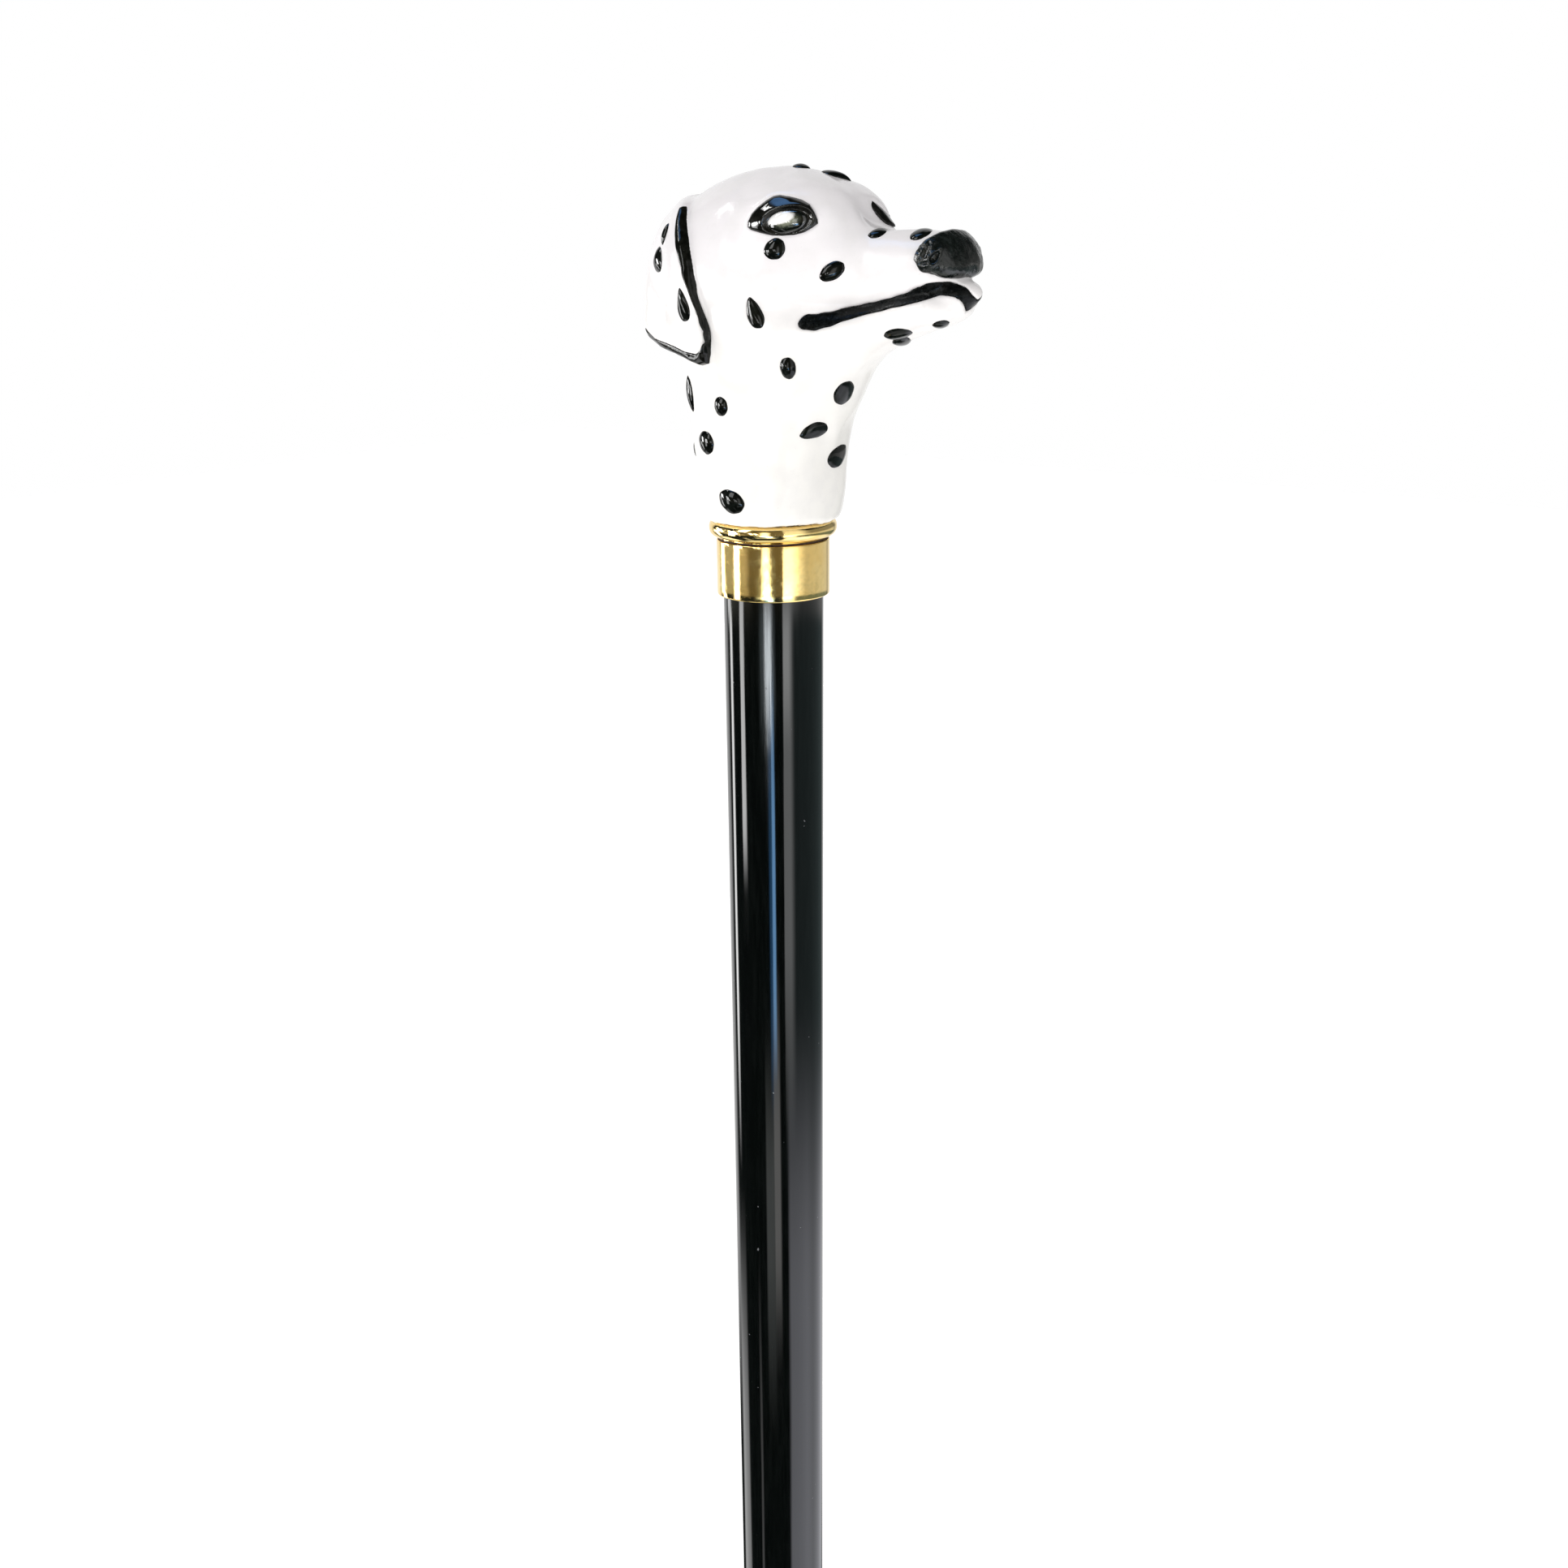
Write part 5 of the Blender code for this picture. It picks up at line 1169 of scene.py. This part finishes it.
# --- light and surroundings ---------------------------------------------------------------------------
def surroundings():
    world = bpy.data.worlds.new("studio")
    bpy.context.scene.world = world
    world.use_nodes = True
    world.cycles.sampling_method = "NONE"     # so that glossy and matt surfaces each get only their own light
    n = Nodes(world.node_tree)
    out = n.add("ShaderNodeOutputWorld")
    way = n.add("ShaderNodeTexCoord").outputs["Generated"]
    split = n.add("ShaderNodeSeparateXYZ")
    n.link(way, split.inputs[0])
    x, y, z = split.outputs
    ahead = n.math("ADD", n.math("MULTIPLY", x, float(TOWARD[0])), n.math("MULTIPLY", y, float(TOWARD[1])))
    aside = n.math("ADD", n.math("MULTIPLY", x, float(ACROSS[0])), n.math("MULTIPLY", y, float(ACROSS[1])))
    azimuth = n.math("MULTIPLY", n.math("ARCTAN2", aside, ahead), 180.0 / math.pi)
    height = n.math("MULTIPLY", n.math("ARCSINE", z), 180.0 / math.pi)
    total = [None]

    def window(value, low, high, soft_low, soft_high):
        a = n.range(value, low - soft_low, low + soft_low)
        b = n.range(value, high - soft_high, high + soft_high, 1.0, 0.0)
        return n.math("MULTIPLY", a, b)

    def panel(az, el, color, strength, az_soft=(2.0, 2.0), el_soft=(4.0, 4.0), around=None):
        shape = n.math("MULTIPLY", window(around or azimuth, az[0], az[1], *az_soft), window(height, el[0], el[1], *el_soft))
        node = n.add("ShaderNodeVectorMath", operation="SCALE")
        node.inputs[0].default_value = color
        n.link(n.math("MULTIPLY", shape, strength), node.inputs["Scale"])
        if total[0] is None:
            total[0] = node.outputs[0]
        else:
            plus = n.add("ShaderNodeVectorMath", operation="ADD")
            n.link(total[0], plus.inputs[0])
            n.link(node.outputs[0], plus.inputs[1])
            total[0] = plus.outputs[0]

    white = (1.0, 1.0, 1.0)
    flecks = n.add("ShaderNodeCombineXYZ")
    n.link(n.math("MULTIPLY", azimuth, 0.33), flecks.inputs[0])
    n.link(n.math("MULTIPLY", height, 3.0), flecks.inputs[1])
    ragged = n.range(n.noise(flecks.outputs[0], 0.9, 3.0, 0.7), 0.36, 0.64, 0.35, 1.6)
    # the strips' upright edges waver, and the windows lean
    waver = n.math("ADD", azimuth, n.math("MULTIPLY", n.math("SUBTRACT", n.noise(flecks.outputs[0], 0.8, 3.0, 0.7), 0.5), 22.0))
    leaning = n.math("ADD", azimuth, n.math("MULTIPLY", n.math("SUBTRACT", height, 10.0), 0.45))
    sharp = (0.4, 6)
    panel((-181, 181), (-91, 91), (0.020, 0.024, 0.024), 1.0)                                  # the room's own dimness
    panel((-181, -136), (-34, 60), white, 1.0, (1, 6), (4, 10))                                # pale wall behind, left
    panel((150, 181), (-40, 60), white, 0.9, (8, 1), (4, 10))                                  # and right
    # at the height of the collar
    low = (0.4, 2.0)
    panel((-131, -118), (-12.2, -5), white, 5.0, (3.0, 2.5), low)                              # strip far left
    panel((-118, -86), (-12.2, -5), (1.0, 0.97, 0.82), 0.40, (2, 2), low)
    panel((-86, -74), (-12.2, -5), white, 8.0, (1.8, 2.2), low)                                # strip left
    panel((-74, -54), (-12.2, -5), (1.0, 0.94, 0.80), 0.34, (2, 7), low)
    panel((-72, 22), (-12.2, 40), (1.0, 0.82, 0.50), 0.15, (4, 3), sharp)                      # warm dimness
    panel((-22, -8), (-12.2, 22), (1.0, 0.99, 0.96), 2.4, (4.0, 3.5), sharp, waver)                   # strip by the camera
    panel((19.5, 58), (-12.2, 50), white, 0.9, (1.3, 14.0), sharp)                             # softbox and its wall, right
    panel((19.5, 145), (-12.2, -4), (1.0, 0.98, 0.95), 0.66, (2, 12), low)
    panel((19.5, 46), (-12.2, -5), white, 0.8, (1.3, 9.0), low)
    # and of the head
    for pane, rows in (((-122, -117), (-5, 9)), ((-113.5, -109), (-5, 9)), ((-88, -82.5), (-5, 9)), ((-78.5, -73), (-5, 9))):
        panel(pane, rows, white, 36.0, (1.0, 1.0), (1.4, 1.4), leaning)
    for pane in ((-88.5, -85), (-82, -78.5)):
        panel(pane, (39, 51), white, 26.0, (0.8, 0.8), (1.4, 1.4), leaning)
    for pane in ((-46, -41.5), (-37, -33)):
        panel(pane, (-3, 8), white, 9.0, (0.9, 0.9), (1.2, 1.4), leaning)
    panel((-68, -50), (16, 48), white, n.math("MULTIPLY", ragged, 6.0), (2, 2), (3, 4))
    panel((-112, -86), (-5, 20), (1.0, 0.98, 0.92), 0.25, (2, 2), (2.0, 6))
    panel((19.5, 145), (-4, 24), (1.0, 0.98, 0.95), 0.24, (2, 12), (2.0, 8))
    # the strips' lower parts, that the shaft shows
    panel((-123, -114), (-27, -12.2), white, 7.5, (3.0, 2.5), (3, 0.4))
    panel((-87, -75), (-20, -12.2), white, 9.0, (1.6, 2.0), (1.2, 0.4))
    panel((-22, -6), (-15.8, -12.2), (0.90, 0.96, 1.0), n.math("MULTIPLY", ragged, 13.0), (4.5, 2.5), (1.6, 0.4), waver)
    panel((-34, 1), (-15.8, -12.2), (0.80, 0.95, 1.0), n.math("MULTIPLY", ragged, 1.1), (6.0, 3.0), (1.6, 0.4), waver)
    panel((-10, -2), (-26, -16), (0.20, 0.44, 0.78), 12.0, (1.8, 2.0), (1.6, 2.5))             # blue lower end
    panel((-17, -10), (-27, -16), (0.10, 0.38, 0.85), 2.2, (3.0, 2.0), (1.6, 2.5))
    panel((-12, 4), (-34, -26), (1.0, 0.98, 0.96), 2.0, (2.5, 3.0), (2, 3))                    # a pale patch under it
    panel((-34, -12), (-35, -28), (0.95, 1.0, 0.98), 1.0, (3.0, 3.5), (3, 3))
    panel((19.5, 42), (-26, -12.2), white, 2.1, (1.3, 8.0), (4, 0.4))                          # softbox, right
    panel((19.5, 38), (-15.5, -12.2), white, 2.4, (1.5, 7.0), (1.5, 0.4))
    panel((19.5, 145), (-28, -12.2), (0.75, 0.98, 1.0), 0.20, (2, 12), (5, 0.4))
    panel((25, 88), (-64, -29), (0.95, 0.96, 1.05), 2.0, (5, 16), (8, 5))                      # the pale floor, right
    panel((88, 150), (-64, -29), (0.97, 0.98, 1.05), 1.2, (16, 8), (8, 5))
    panel((-61, -55), (-60, -35), white, 0.8, (1.5, 1.5), (3, 3))
    # above, and a card low on the left
    panel((-128, -76), (56, 90), (0.17, 0.40, 0.84), 5.0, (4, 4), (3, 1))                       # cool skylight
    panel((-138, -104), (-58, -34), white, 1.6, (6, 5), (5, 4))
    panel((-181, 181), (-91, -64), (0.98, 1.0, 0.95), 0.9, (1, 1), (1, 3))                     # the pale floor, straight below
    glossy = n.add("ShaderNodeBackground")
    n.link(total[0], glossy.inputs["Color"])
    # soft light on matt surfaces: from the front left and from the pale ground, weaker from above and the right
    lean = n.math("ADD", n.math("MULTIPLY", ahead, 0.22), n.math("ADD", n.math("MULTIPLY", aside, -0.30), n.math("MULTIPLY", z, -0.43)))
    soft = n.add("ShaderNodeBackground", in_Color=(1.0, 0.993, 0.985, 1.0))
    n.link(n.math("ADD", lean, 1.04), soft.inputs["Strength"])
    seen = n.add("ShaderNodeBackground", in_Color=(1.0, 1.0, 1.0, 1.0), in_Strength=1.0)
    path = n.add("ShaderNodeLightPath")
    first = n.add("ShaderNodeMixShader")
    n.link(path.outputs["Is Glossy Ray"], first.inputs[0])
    n.link(soft.outputs[0], first.inputs[1])
    n.link(glossy.outputs[0], first.inputs[2])
    second = n.add("ShaderNodeMixShader")
    n.link(path.outputs["Is Camera Ray"], second.inputs[0])
    n.link(first.outputs[0], second.inputs[1])
    n.link(seen.outputs[0], second.inputs[2])
    n.link(second.outputs[0], out.inputs["Surface"])


def area_light(name, place, aim, size, power, color=(1, 1, 1)):
    data = bpy.data.lights.new(name, "AREA")
    data.shape = "RECTANGLE"
    data.size, data.size_y = size
    data.energy = power
    data.color = color
    item = bpy.data.objects.new(name, data)
    bpy.context.scene.collection.objects.link(item)
    item.location = place
    item.rotation_mode = "QUATERNION"
    item.rotation_quaternion = (Vector(aim) - Vector(place)).to_track_quat("-Z", "Y")
    item.visible_glossy = False
    item.visible_camera = False
    return item


def stage():
    # low enough to leave room for the foot when it is pulled off
    verts = [(-6, -6, -0.0305), (6, -6, -0.0305), (6, 6, -0.0305), (-6, 6, -0.0305)]
    mesh = bpy.data.meshes.new("floor")
    mesh.from_pydata([Vector(v) for v in verts], [], [(0, 1, 2, 3)])
    item = bpy.data.objects.new("floor", mesh)
    bpy.context.scene.collection.objects.link(item)
    made, n, shader, where = new_material("pale_floor", (0.95, 0.95, 0.95), 0.9, specular=0.1)
    n.link(n.mix(n.range(n.noise(where, 30.0, 4.0), 0.3, 0.7), (0.94, 0.94, 0.94), (0.96, 0.96, 0.96)), shader.inputs["Base Color"])
    shader.inputs["Emission Color"].default_value = (1.0, 1.0, 1.0, 1.0)
    shader.inputs["Emission Strength"].default_value = 0.45
    mesh.materials.append(made)
    item.visible_glossy = False
    item.visible_diffuse = False


make_camera()
surroundings()
stage()
turned_pieces()
head_pieces()

scene = bpy.context.scene
scene.view_settings.view_transform = "Standard"
scene.view_settings.look = "None"
